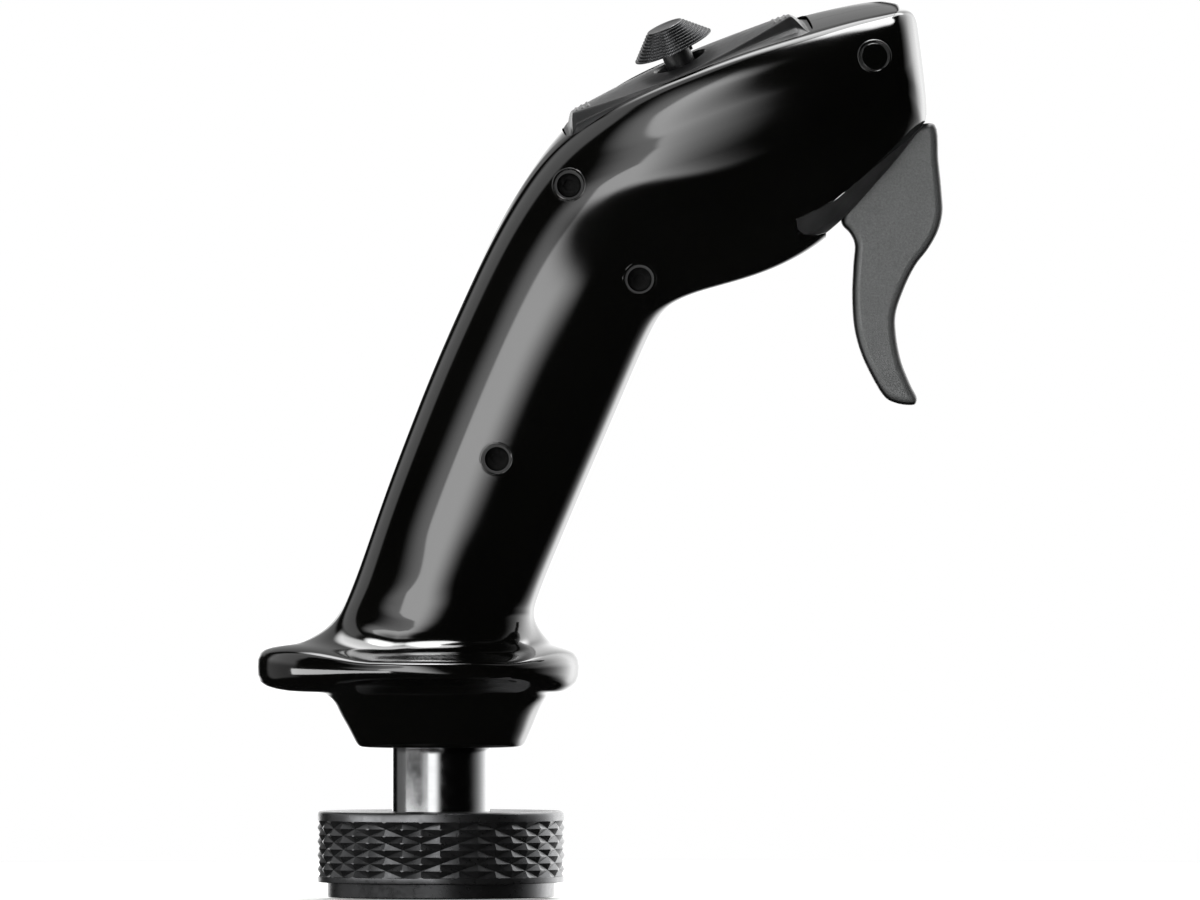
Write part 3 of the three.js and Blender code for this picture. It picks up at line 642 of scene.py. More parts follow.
# ---- the grip's outer surface ----
# Each station is a flat section across the stick: its lowest or front point and its highest or rear point
# as (x, height), the half width, where between the two points it is widest, the half width of the flat on
# the upper side, the angle at which the side meets that flat, the share of the head's roll and the fullness.
STATIONS = [
    ((24.3, 75), (-23.3, 75), 18.5, 0.5, 5, 88, 0, 2.15),
    ((28.8, 86), (-19.2, 86), 18.6, 0.5, 5, 88, 0, 2.15),
    ((34.7, 100), (-14.2, 100.5), 19, 0.5, 5, 88, 0, 2.15),
    ((41.2, 115), (-8, 117), 19.3, 0.5, 5, 88, 0, 2.15),
    ((47.2, 129), (-0.8, 135), 19.6, 0.5, 5, 88, 0, 2.15),
    ((51.8, 139.5), (6.3, 151), 20, 0.5, 5, 88, 0, 2.15),
    ((55.2, 145.9), (12.6, 164.5), 20.8, 0.5, 5.5, 88, 0, 2.2),
    ((58.6, 148.6), (20, 177.9), 21.8, 0.54, 7, 85, 0.1, 2.1),
    ((63, 150.6), (28.6, 189.7), 24, 0.66, 10.5, 76, 0.5, 2),
    ((69.5, 152.5), (39.1, 197.7), 25.6, 0.63, 14, 63, 0.95, 1.95),
    ((78, 154.9), (50, 203.6), 25.8, 0.59, 15.5, 58, 1, 1.95),
    ((87.3, 158.7), (64, 209.4), 25.8, 0.59, 15.5, 58, 1, 1.95),
    ((95.5, 163.7), (78, 214.4), 25.3, 0.58, 15.5, 58, 1, 2),
    ((101.8, 169.4), (90.5, 217.9), 24.6, 0.56, 15, 58, 1, 2.1),
    ((107.7, 176.3), (101, 220.7), 23.6, 0.54, 14.4, 60, 0.95, 2.2),
    ((113.8, 183.4), (109.4, 222.2), 21.6, 0.52, 13.2, 64, 0.85, 2.3),
    ((119.6, 190.4), (115.4, 222.6), 17, 0.5, 11, 66, 0.7, 2.3),
]
BELLY = 0.42  # share of the half outline, from its lowest point, that runs to where it is widest
CORNER = 0.8  # and to the edge of the flat
CORNER_SOFT = 0.035  # as a share too, rounded to each side of that edge
FLAT_CROWN = 0.5  # rise of the flat in its middle
NECK_X = 0.35  # the middle that the palm rest's rows go round
# Rings that round off the nose: their width and length as shares of the last station's, and how far ahead.
FRONT_FACE = [(0.88, 0.97, 1.1), (0.72, 0.9, 2.2), (0.52, 0.74, 3), (0.3, 0.44, 3.4)]
# The palm rest: height at the side and at the ends, radius at the side, at the front and at the rear.
PALM_REST = [
    (37.5, 37.5, 19, 19.2, 19),
    (37.6, 37.6, 20.2, 20.4, 20.3),
    (38.1, 38.1, 20.8, 21, 21),
    (39.4, 39.4, 21.5, 21.7, 21.9),
    (43, 43, 23.1, 23.3, 23.8),
    (46.75, 46.75, 24.8, 24.9, 25.9),
    (49.75, 49.6, 26.4, 26.8, 27.6),
    (52.8, 51, 29.5, 30, 33),
    (54.6, 52.1, 34.2, 32.8, 42.3),
    (55.3, 53.9, 35.8, 34.4, 45.5),
    (57.2, 57.6, 36, 35, 46.2),
    (58.6, 61, 35.6, 34, 45.6),
    (59.2, 62.5, 34, 31.6, 43.2),
    (60.6, 64, 27.5, 28, 35.8),
    (63.4, 67.2, 22.4, 24.9, 29.2),
    (68.5, 71, 19.2, 23.4, 25.8),
]


def raw_half_section(station, u, depth):
    _, _, width, widest, flat, edge, _, full = station
    if u <= BELLY:
        angle = u / BELLY * math.pi / 2
        share = widest * (1 - max(math.cos(angle), 0) ** (2 / full))
        return np.array([share, width * math.sin(angle) ** (2 / full)])
    if u <= CORNER:
        last = math.radians(edge)
        angle = (u - BELLY) / (CORNER - BELLY) * last
        share = widest + (1 - widest) * math.sin(angle) / math.sin(last)
        reach = (width - flat) * (math.cos(angle) - math.cos(last)) / (1 - math.cos(last))
        return np.array([share, flat + reach])
    across = (1 - u) / (1 - CORNER)
    return np.array([1 + FLAT_CROWN * (1 - across * across) / depth, flat * across])


def half_section(station, u, depth):
    off = u - CORNER
    if abs(off) >= CORNER_SOFT:
        return raw_half_section(station, u, depth)
    knots = (CORNER - CORNER_SOFT, CORNER, CORNER + CORNER_SOFT)
    before, corner, after = (raw_half_section(station, knot, depth) for knot in knots)
    return bent(before, corner, after, (off + CORNER_SOFT) / (2 * CORNER_SOFT))


def section_ring(station, inset, shares):
    low, high = np.array(station[0], float), np.array(station[1], float)
    width, roll = station[2], station[6]
    along = high - low
    depth = np.linalg.norm(along)
    along = along / depth
    half = np.array([half_section(station, u, depth) for u in shares])
    ring = []
    for side, rows in ((1, half), (-1, half[-2:0:-1])):
        for share, wide in rows:
            y = side * wide * (1 - inset / width)
            up = inset + share * (depth - 2 * inset) + y * math.tan(DECK_ROLL) * roll * smooth(0.35, 1, share)
            ring.append((low[0] + along[0] * up, y, low[1] + along[1] * up))
    return np.array(ring)


def elliptical(angle, side_r, front_r, rear_r):
    end_r = np.where(np.cos(angle) > 0, front_r, rear_r)
    return 1 / np.hypot(np.cos(angle) / end_r, np.sin(angle) / side_r)


def palm_ring(row, neck, likeness):
    """One row of the palm rest. Its likeness is how far it takes on the shape of the neck above it."""
    side_z, end_z, side_r, front_r, rear_r = row
    x, y = neck[:, 0] - NECK_X, neck[:, 1]
    angle = np.arctan2(y, x)
    fullness = np.hypot(x, y) / elliptical(angle, y.max(), x.max(), -x.min())
    radius = elliptical(angle, side_r, front_r, rear_r) * fullness**likeness
    height = side_z + (end_z - side_z) * smooth(0.45, 1, np.abs(np.cos(angle)))
    return np.stack([radius * np.cos(angle), radius * np.sin(angle), height], 1)


def front_rings(last):
    centre = last.mean(axis=0)
    forward = np.array([0.985, 0, 0.17])
    return [
        centre + (last - centre) * (along, across, along) + forward * ahead
        for across, along, ahead in FRONT_FACE
    ]


def faired(rings, spacing):
    """Rings of a curvature-continuous surface through the given rings, about spacing apart."""
    rows = np.array(rings)
    steps = np.linalg.norm(np.diff(rows, axis=0), axis=2).mean(axis=1)
    knots = np.concatenate([[0], np.cumsum(steps)])
    n = len(rows)
    gaps = np.diff(knots)
    matrix = np.zeros((n, n))
    matrix[0, 0] = matrix[-1, -1] = 1
    right = np.zeros((n,) + rows.shape[1:])
    for i in range(1, n - 1):
        matrix[i, i - 1 : i + 2] = gaps[i - 1], 2 * (gaps[i - 1] + gaps[i]), gaps[i]
        right[i] = 6 * ((rows[i + 1] - rows[i]) / gaps[i] - (rows[i] - rows[i - 1]) / gaps[i - 1])
    bend = np.linalg.solve(matrix, right.reshape(n, -1)).reshape(right.shape)
    out = []
    for i in range(n - 1):
        parts = max(2, int(round(gaps[i] / spacing)))
        for k in range(parts):
            b = k / parts
            a = 1 - b
            curve = ((a**3 - a) * bend[i] + (b**3 - b) * bend[i + 1]) * gaps[i] ** 2 / 6
            out.append(a * rows[i] + b * rows[i + 1] + curve)
    out.append(rows[-1])
    return out


def blurred(rows, reach):
    """Rows averaged with their neighbours, by a bell curve that is reach rows wide."""
    steps = np.arange(-3 * reach, 3 * reach + 1)
    weights = np.exp(-((steps / reach) ** 2) / 2)
    ends = [np.repeat(rows[k : k + 1], 3 * reach, axis=0) for k in (0, len(rows) - 1)]
    padded = np.concatenate([ends[0], rows, ends[1]])
    return sum(w * padded[i : i + len(rows)] for i, w in enumerate(weights / weights.sum()))


def evened(rings, first, last):
    """The rings with small waves along the stick taken out, fully so between the first and the last.

    The line between a ring's lowest and highest points is blurred less than the ring's shape on that line.
    """
    rows = np.array(rings)
    highest = rows.shape[1] // 2
    low, high = rows[:, 0], rows[:, highest]

    def axes(low, high):
        along = high - low
        return along[:, None], np.stack([-along[:, 2], 0 * along[:, 1], along[:, 0]], 1)[:, None]

    along, across = axes(low, high)
    size = (along**2).sum(-1)
    off = rows - low[:, None]
    share, bulge = (off * along).sum(-1) / size, (off * across).sum(-1) / size
    share, bulge, wide = (blurred(part, SHAPE_REACH)[..., None] for part in (share, bulge, rows[..., 1]))
    low, high = blurred(low, ENDS_REACH), blurred(high, ENDS_REACH)
    along, across = axes(low, high)
    even = low[:, None] + along * share + across * bulge
    even[..., 1] = wide[..., 0]
    place = np.arange(len(rows))
    start = smooth(first - SHAPE_REACH, first + SHAPE_REACH, place)
    end = smooth(last + SHAPE_REACH, last - SHAPE_REACH, place)
    amount = (start * end)[:, None, None]
    return list(rows * (1 - amount) + even * amount)


RING_SPACING = 1.3
LIKE_NECK = (11, 15)  # the rows over which the palm rest takes on the neck's shape
GRIP_LOW = 76  # the height above which the surface is evened
NOSE_RINGS = 18  # the last rings, which aren't evened
ENDS_REACH = 4  # how far the front and rear lines are blurred, in rings
SHAPE_REACH = 9  # how far the shape between them is blurred


def outer_body():
    near_corner = CORNER + CORNER_SOFT * np.linspace(-1, 1, 9)
    shares = np.unique(np.round(np.concatenate([np.linspace(0, 1, 45), near_corner]), 6))
    rings = [section_ring(s, 0, shares) for s in STATIONS]
    palm = [palm_ring(row, rings[0], float(smooth(*LIKE_NECK, i))) for i, row in enumerate(PALM_REST)]
    rows = faired([*palm, *rings, *front_rings(rings[-1])], RING_SPACING)
    grip_start = next(i for i, row in enumerate(rows) if row[:, 2].mean() > GRIP_LOW)
    return lofted(evened(rows, grip_start, len(rows) - NOSE_RINGS))


WELL_R = 17
WELL_TOP = 64


def cavity():
    shares = np.linspace(0, 1, 21)
    rings = [section_ring(s, WALL, shares) for s in STATIONS]
    angle = np.arctan2(rings[0][:, 1], rings[0][:, 0] - NECK_X)
    well = WELL_R * np.stack([np.cos(angle), np.sin(angle), 0 * angle], 1)
    floor = heights("stem_collar")[0] - 0.7
    front = 0.15 * rings[-2] + 0.85 * rings[-1]
    return lofted([well + (0, 0, floor), well + (0, 0, WELL_TOP), *faired([*rings[1:-1], front], 3)])


PLATE_HALF_LENGTH = 33.5
PLATE_HALF_WIDTH = 14


def plate_outline(margin, steps=10):
    long, wide = PLATE_HALF_LENGTH + margin, PLATE_HALF_WIDTH + margin
    shoulder = long - 5.5
    quarter = [
        ((shoulder, -wide), (long - 0.6, -wide), (long - 0.3, -wide + 5.5)),
        ((long - 0.3, -wide + 5.5), (long, 0), (long - 0.3, wide - 5.5)),
        ((long - 0.3, wide - 5.5), (long - 0.6, wide), (shoulder, wide)),
    ]
    curves = quarter + [[(-x, -y) for x, y in curve] for curve in quarter]
    out = []
    for curve in curves:
        out += [bent(*np.array(curve), k / steps) for k in range(steps + 1)]
    kept = [p for i, p in enumerate(out) if np.linalg.norm(p - out[i - 1]) > 1e-6]
    return np.array(kept)


def plate_prism(margin, low, high):
    outline = plate_outline(margin)
    return decked(lofted([[(x, y, n) for x, y in outline] for n in (low, high)]))


# ---- the trigger's outlines, as (x, height) ----
TRIGGER_FRONT = [
    (118.9, 124.6), (117.4, 127.8), (115, 133.8), (113.7, 140.5), (113.6, 145.5), (115.2, 150.9),
    (118.5, 157.8), (121.9, 162.3), (124.3, 166.8), (125.3, 171), (125.1, 176), (124.3, 184), (123.3, 193),
]
TRIGGER_HUB = [(120, 193.2), (114.6, 192.2), (111.4, 192), (108.5, 192.6), (104.4, 191.2), (102.8, 186)]
TRIGGER_REAR = [
    (100.9, 176), (100.2, 168.4), (102.2, 166), (103.4, 163.4), (103.1, 158), (102.8, 150), (103.3, 142.6),
    (104.8, 136.6), (107.5, 130.6), (111.2, 124.8), (113.8, 123.5), (116.9, 123), (118.4, 123.2),
]
BEZEL_OUTLINE = [
    (88.5, 169.3), (93.5, 171.6), (98.5, 174.3), (104, 178.9), (110.4, 184.3), (116, 188.6), (121.4, 194.2),
    (124, 193.6), (120.6, 191), (100.8, 168.2), (97, 166.2), (93.5, 165.3), (90.5, 165.4), (88.8, 166.8),
]
EAR_OUTLINE = [
    (104.5, 176.5), (109.8, 181.8), (111.9, 186.6), (112.3, 189), (110.6, 191.2), (106.8, 191.5), (104, 189),
]
SLOT_OUTLINE = [(96.2, 160), (128, 160), (128, 194.6), (121, 195.4), (115, 196), (100, 194.6), (96.2, 186)]
TRIGGER_HALF_WIDTH = 6.6
TRIGGER_SLOT_HALF = 7.4


def outline_inset(outline, distance):
    """The outline moved inwards. Points that would cross over gather at the nearest sound one."""
    p = np.asarray(outline, float)
    if distance < 1e-6:
        return p
    before = p - np.roll(p, 1, axis=0)
    after = np.roll(p, -1, axis=0) - p
    before /= np.linalg.norm(before, axis=1)[:, None]
    after /= np.linalg.norm(after, axis=1)[:, None]
    ahead = before + after
    ahead /= np.linalg.norm(ahead, axis=1)[:, None]
    stretch = 1 / np.maximum(np.sqrt(np.clip((1 + (before * after).sum(axis=1)) / 2, 0, 1)), 0.75)
    area = np.sum(p[:, 0] * np.roll(p[:, 1], -1) - np.roll(p[:, 0], -1) * p[:, 1])
    inward = np.stack([-ahead[:, 1], ahead[:, 0]], 1) * math.copysign(1, area)
    moved_in = p + inward * (distance * stretch)[:, None]
    along = np.roll(p, -1, axis=0) - p
    sound = []
    for point in moved_in:
        share = np.clip(((point - p) * along).sum(axis=1) / (along**2).sum(axis=1), 0, 1)
        sound.append(np.linalg.norm(p + along * share[:, None] - point, axis=1).min() > 0.97 * abs(distance))
    good = np.flatnonzero(sound)
    n = len(p)
    for i in np.flatnonzero(~np.array(sound)):
        gaps = np.minimum((good - i) % n, (i - good) % n)
        moved_in[i] = moved_in[good[np.argmin(gaps)]]
    return moved_in


def soft_slab(outline, half, edge, steps=5):
    """An outline of (x, height) points extruded to both sides of the middle plane, with rounded rims."""
    rims = []
    for k in range(steps + 1):
        angle = math.pi / 2 * k / steps
        rims.append((edge * (1 - math.cos(angle)), half - edge * (1 - math.sin(angle))))
    rims.append((edge + 0.15, half))
    order = [(inset, -y) for inset, y in reversed(rims)] + rims
    return facing_out(*lofted([[(x, y, z) for x, z in outline_inset(outline, inset)] for inset, y in order]))


def post(radius, low, high, at, segments=64):
    """A plain cylinder across the stick, between two distances from the middle plane."""
    return slab(circle(radius, 0, segments)[:, :2] + at, low, high)


def posts(radius, low, high, segments=64):
    """A post at each shell screw."""
    return joined(*[post(radius, low, high, at, segments) for at in SHELL_SCREWS])


OUTER = outer_body()
OUTER_SKIN = Skin(OUTER)


# ---- pieces ----
SEAM = 0.07  # from the middle plane to each shell
RIGHT_BOSS_R = 5
LEFT_BOSS_R = 4.4
INSERT_R = 2.4
INSERT_HOLE_R = 2.7


def build_shells():
    slot = slab(SLOT_OUTLINE, -TRIGGER_SLOT_HALF, TRIGGER_SLOT_HALF)
    stem_way = lofted([circle(STEM_R + GAP, height, 96) for height in (30, 70)])
    openings = [cavity(), stem_way, plate_prism(0.5, -24, 12), slab(BEZEL_OUTLINE, -THROUGH, THROUGH)]
    hollow = cut(OUTER, *openings, slot)
    right = common(hollow, brick((-80, 160), (-60, -SEAM), (20, 250)))
    left = common(hollow, brick((-80, 160), (SEAM, 60), (20, 250)))
    right = united(right, common(OUTER, posts(RIGHT_BOSS_R, -30, -1)))
    left = united(left, common(OUTER, posts(LEFT_BOSS_R, 1, 30)))
    right = cut(right, posts(RECESS_R, -THROUGH, RECESS_FLOOR), posts(SCREW_HOLE_R, -THROUGH, 0, 32))
    left = cut(left, posts(INSERT_HOLE_R, 0, 10, 32))
    show("grip_shell_right", right, "gloss_shell", ["right_shell"], skin=OUTER_SKIN)
    show("grip_shell_left", left, "gloss_shell", ["left_shell"], skin=OUTER_SKIN)


def set_in_side(at, profile, joined_ends=False):
    """A round piece set in the right side. Its profile is a list of (radius, height above the surface)."""
    rings = []
    for radius, lift in profile:
        around = circle(radius, 0, 96)[:, :2] + at
        rings.append([(x, OUTER_SKIN.depth_at(x, z) - lift, z) for x, z in around])
    return facing_out(*lofted(rings, joined_ends))


def build_fasteners():
    inner, outer = RECESS_R + 0.02, RING_R - 0.02
    lip = [
        (inner, -1.4), (inner, -0.04), (inner + 0.06, 0.07), (inner + 0.18, 0.12),
        (outer - 0.18, 0.12), (outer - 0.06, 0.07), (outer, -0.02), (outer, -0.5),
    ]
    for i, at in enumerate(SHELL_SCREWS):
        node = f"shell_screw_{i + 1}"
        show(f"recess_ring_{i + 1}", set_in_side(at, lip, joined_ends=True), "gloss_shell", sharp=60)
        cap = across_y(rod(SCREW_HEAD_R, 0, 2.65, 64, 0.35, 4), *at)
        cap = moved(cap, (0, stick_box(node)[0][1] - cap[0][:, 1].min(), 0))
        hexagon = circle(1.6, 0, 6)[:, :2] + at
        socket = slab(hexagon, RECESS_FLOOR - 4, RECESS_FLOOR - 1.2)
        screw = united(cut(cap, socket), post(SCREW_R, RECESS_FLOOR - 1, 9, at, 32))
        show(f"cap_screw_{i + 1}", screw, "black_steel", [node])
        insert = cut(post(INSERT_R, 1.2, 9.6, at), post(SCREW_HOLE_R, 0, 12, at, 32))
        show(f"knurled_insert_{i + 1}", insert, "brass", [f"threaded_insert_{i + 1}"])
    plug = [(3.3, -6), (3.3, -0.06), (3.26, -0.02), (3.18, 0), (2, 0), (1, 0), (0.1, 0)]
    show("screw_cover", set_in_side(SHELL_SCREWS[-1], plug), "gloss_shell", ["screw_plug"], sharp=50)


def build_trigger():
    outline = spline([*TRIGGER_FRONT, *TRIGGER_HUB, *TRIGGER_REAR], 5)
    spring_gap = post(7, -3.2, 3.2, TRIGGER_PIVOT + (0, 2.5))
    pin_hole = post(PIN_HOLE_R, -20, 20, TRIGGER_PIVOT)
    blade = cut(soft_slab(outline, TRIGGER_HALF_WIDTH, 1.9), spring_gap, pin_hole)
    show("trigger_lever", blade, "trigger_metal", ["trigger_blade"], "trigger")

    bezel = common(slab(outline_inset(BEZEL_OUTLINE, GAP / 2), -THROUGH, THROUGH), OUTER)
    slot = slab(SLOT_OUTLINE, -TRIGGER_SLOT_HALF, TRIGGER_SLOT_HALF)
    bumper_pocket = brick((94.6, 97.5), (-5.3, 5.3), (166.7, 171))
    bezel = cut(bezel, slot, bumper_pocket)
    ears = spline(EAR_OUTLINE, 6)
    bezel = united(bezel, joined(slab(ears, -9.1, -7.6), slab(ears, 7.6, 9.1)))
    show("trigger_surround", cut(bezel, pin_hole), "satin_trim", ["trigger_bezel"], skin=OUTER_SKIN)

    pin = across_y(rod(PIN_R, -9.8, 9.8, 48, 0.3), *TRIGGER_PIVOT)
    show("trigger_pivot_pin", pin, "bright_steel", ["trigger_pin"])
    spring = across_y(coil(2.9, 0.45, 1.2, 4, -2.4), *TRIGGER_PIVOT)
    show("trigger_return_spring", spring, "bright_steel", ["trigger_spring"], sharp=60)


# ---- the thumb plate ----
TOP_END = 29.5  # half length of the raised top
PLATE_END = 33.35
RIDGES = (25.5, 27, 28.5)  # along the deck, at both ends
RIDGE_HEIGHT = 0.28


def plate_section(s):
    """The section across the plate at s: up the left side, over the top and down the right side."""
    run = min(abs(s) / TOP_END, 1)
    overhang = max(abs(s) - TOP_END, 0) / (PLATE_HALF_LENGTH - TOP_END)
    base = -1.9 - s * s / 340
    base_half = PLATE_HALF_WIDTH - 5.5 * float(smooth(0.5, 1.3, overhang)) - 1.2 * overhang
    top_half = 12.6 - 3.6 * run**1.6
    foot_half = min(top_half + 1.8, base_half - 0.5)
    centre = -0.5 * run * run
    edge_drop = 1.1 - 0.9 * run * run
    twist = 0.14 * run * run
    shrink = 1 - float(smooth(0, 0.75, overhang))

    def top(y):
        return base + 0.15 + (centre - edge_drop * (y / top_half) ** 2 - twist * y - base) * shrink

    def side(k):
        """From the lower edge up to near the rim of the top, on the side k of the plate."""
        rim = top(k * top_half)
        wall_half = min(top_half + 0.25, foot_half - 0.3)
        corners = [
            (k * base_half, base - 1.6),
            (k * base_half, base),
            (k * foot_half, base + 0.2 * (rim - base)),
            (k * wall_half, base + 0.42 * (rim - base)),
            (k * top_half, rim),
            (k * top_half * 0.9, top(k * top_half * 0.9)),
        ]
        return [corners[0], *rounded_corners(corners, (0.3, 0.5, 0.9, 0.45), 4), corners[-1]]

    ridge = sum(math.exp(-(((abs(s) - at) / 0.36) ** 2)) for at in RIDGES) * RIDGE_HEIGHT * shrink
    crown = []
    for y in np.linspace(-0.9, 0.9, 25)[1:-1] * top_half:
        crown.append((y, top(y) + ridge * float(smooth(0.86, 0.72, abs(y) / top_half))))
    points = [*side(1), *crown[::-1], *side(-1)[::-1], (0, base - 1.6)]
    return [(s, y, n) for y, n in points]


def build_thumb_plate():
    ends = np.concatenate([np.linspace(24.4, TOP_END, 30), np.linspace(TOP_END + 0.2, PLATE_END, 20)])
    stops = np.concatenate([-ends[::-1], np.linspace(-24, 24, 49), ends])
    plate = lofted([plate_section(s) for s in stops])
    skin = Skin(decked(plate))
    flare = [(NEAR_AXIS, -12), (HAT_HOLE_R, -12), (HAT_HOLE_R, -0.55), (HAT_HOLE_R + 3, 3), (NEAR_AXIS, 3)]
    hole = turned(flare, 96, 0.3, on_axis=True)
    sides = ((-12.3, -9.9), (9.9, 12.3))
    lugs = joined(*[brick((-3, 3), y, (ROCKER_AXIS - 2.4, -2.6), edge=0.3) for y in sides])
    pin_hole = post(ROCKER_HOLE_R, -20, 20, (0, ROCKER_AXIS), 32)
    plate = cut(united(cut(facing_out(*plate), hole), lugs), pin_hole)
    show("thumb_saddle", decked(plate), "satin_trim", ["thumb_plate"], "plate", skin=skin, sharp=30)

    for name, low, high in (("right", -14.4, -9.7), ("left", 9.7, 14.4)):
        axle = across_y(rod(ROCKER_PIN_R, low, high), 0, ROCKER_AXIS)
        show(f"rocker_pin_{name}", decked(axle), "bright_steel", [f"plate_axle_{name}"])

    switches = {"rear": -22, "front": 22}  # along the deck
    carrier = brick((-29, 28), (-14, 14), (-16.6, -15), edge=0.3)
    walls = [brick((-5, 5), y, (-15.5, ROCKER_AXIS + 2), edge=0.3) for y in ((-14.4, -12.8), (12.8, 14.4))]
    stands = [brick((s - 3.5, s + 3.5), (-3.5, 3.5), (-15.5, -10.4), edge=0.3) for s in switches.values()]
    carrier = cut(united(carrier, joined(*walls, *stands)), pin_hole)
    show("deck_frame", decked(carrier), "nylon", ["deck_carrier"])
    for name, s in switches.items():
        body = brick((s - 3, s + 3), (-3, 3), (-10.1, -6.8), edge=0.3)
        switch = united(body, moved(rod(1.6, -8, -6.1), (s, 0, 0)))
        show(f"tactile_switch_{name}", decked(switch), "satin_trim", [f"plate_switch_{name}"])


# ---- the hat ----
HAT_STEPS = 9
HAT_NOTCHES = 72


def hat_cap_shape():
    """A truncated cone of nine stepped ridges, notched all round into small teeth, with a dished top."""
    rim_r, top_r, bore_r, low, high = 10.3, 4.75, 2.7, 4.0, 9.76
    centre = 0.05  # the radius that stands for the axis
    columns = HAT_NOTCHES * 5
    notch = np.array([0, 0, 0, 1, 1])[np.arange(columns) % 5]
    rise = (high - low - 0.3) / HAT_STEPS
    inward = (rim_r - top_r) / HAT_STEPS
    # Each row is (radius, height, whether the notches cut it).
    rows = [(centre, 8.7, 0), (bore_r, 8.7, 0)]
    rows += [(bore_r, low, 0), (rim_r - 0.5, low, 0), (rim_r - 0.12, low + 0.06, 0)]
    for i in range(HAT_STEPS):
        outer, base = rim_r - inward * i, low + 0.12 + rise * i
        root = outer - inward - 0.12
        rows += [(outer, base, 1), (outer - 0.06, base + rise * 0.42, 1), (outer - 0.2, base + rise * 0.5, 1)]
        rows += [(root, base + rise * 0.66, 0), (root, base + rise * 0.9, 0)]
    rows += [(top_r - 0.02, high - 0.1, 0), (top_r - 0.14, high, 0), (top_r - 0.5, high, 0)]
    rows += [(top_r - 0.8, high - 0.12, 0), (top_r * 0.4, high - 0.22, 0), (centre, high - 0.24, 0)]
    return facing_out(*lofted([circle(r - 0.14 * notch * toothed, z, columns) for r, z, toothed in rows]))


def build_hat():
    show("hat_button", decked(hat_cap_shape()), "anodised_metal", ["hat_cap"], "hat", sharp=28)
    stem = [(3, -10.6), (3, -7.5), (3.7, -5.5), (3.7, 3.7), (2.4, 3.7), (2.4, 8.4)]
    stem = [(NEAR_AXIS, stem[0][1]), *stem, (NEAR_AXIS, stem[-1][1])]
    tab = brick((3.2, 4.3), (-0.7, 0.7), (1.6, 2.9), edge=0.2)
    shaft = united(turned(stem, 64, 0.25, on_axis=True), tab)
    show("hat_shaft", decked(shaft), "satin_trim", ["hat_stem"], "hat")
    ring = hoop(5, 6.6, -10, -8, 64, 0.25)
    show("hat_tilt_ring", decked(ring), "bright_steel", ["hat_gimbal_ring"], "hat_ring")
    housing = cut(brick((-9, 9), (-9, 9), (-14.7, -6), edge=0.5), rod(7.6, -13.5, 0, 64, 0.3))
    show("hat_socket", decked(housing), "nylon", ["hat_housing"])
    spring = coil(2.8, 0.3, 0.6, 2, -13.1)
    show("hat_return_spring", decked(spring), "bright_steel", ["hat_spring"], sharp=60)


# ---- the stem and its coupling ----
def build_stem():
    profile = [
        (STEM_BORE_R, SEAT), (FLANGE_R, SEAT), (FLANGE_R, FLANGE_TOP), (STEM_R, FLANGE_TOP),
        (STEM_R, STEM_TOP), (STEM_BORE_R, STEM_TOP),
    ]
    key_slot = brick((12.9, 20), (-2.3, 2.3), (SEAT - 1, FLANGE_TOP + 1))
    show("stem", cut(turned(profile, 144, 0.35), key_slot), "bright_steel", ["stem_tube"])
    key = brick((13.2, 16.8), (-2, 2), (SEAT - 3, FLANGE_TOP - GAP), edge=0.35, steps=3)
    show("alignment_key", key, "bright_steel", ["locating_key"])

    low, high = heights("stem_collar")
    screw_height = middle("collar_screw_front")[2]
    screw_holes = across_x(rod(SCREW_HOLE_R, -20, 20, 32, 0), screw_height)
    collar = cut(hoop(STEM_R + GAP, 15.6, low, high, 96, 0.4), screw_holes)
    show("stem_clamp", collar, "anodised_metal", ["stem_collar"])
    for name, start, end in (("rear", -15.2, -STEM_R - GAP), ("front", STEM_R + GAP, 15.2)):
        screw = across_x(rod(SCREW_R, start, end, 32, 0.2), screw_height)
        show(f"grub_screw_{name}", screw, "black_steel", [f"collar_screw_{name}"])

    places = circle(5.2, 0, 5)
    hole = rod(1.1, SEAT - 1, SEAT + 6.5, 32, 0.1)
    insert = cut(rod(9.2, SEAT, SEAT + 9, 72, 0.3), joined(*[moved(hole, place) for place in places]))
    show("contact_block", insert, "satin_trim", ["connector_insert"])
    for i, place in enumerate(places):
        pin = moved(rod(0.8, SEAT + 0.5, SEAT + 6.2, 24, 0.3), place)
        show(f"spring_contact_{i + 1}", pin, "brass", [f"contact_{i + 1}"])
    low, high = heights("thrust_washer")
    show("slip_washer", hoop(12.7, 17.2, low, high, 96, 0.2), "nylon", ["thrust_washer"], "washer")


KNURL_LOW = 5.3
KNURL_ROWS = 4
KNURL_DIAMONDS = 20
KNURL_STEP = 18  # grid steps across one diamond
KNURL_PITCH = 3.45
KNURL_DEPTH = 0.85
KNURL_WALL = 8  # of KNURL_STEP: how much of a diamond each groove wall takes


def knurl_depth(row, column):
    """Depth of the two families of helical grooves at a point of the grid."""
    depths = []
    for phase in (column + row, column - row):
        off = phase % KNURL_STEP
        off = min(off, KNURL_STEP - off)
        depths.append(KNURL_DEPTH * max(0, 1 - off / KNURL_WALL))
    return max(depths)


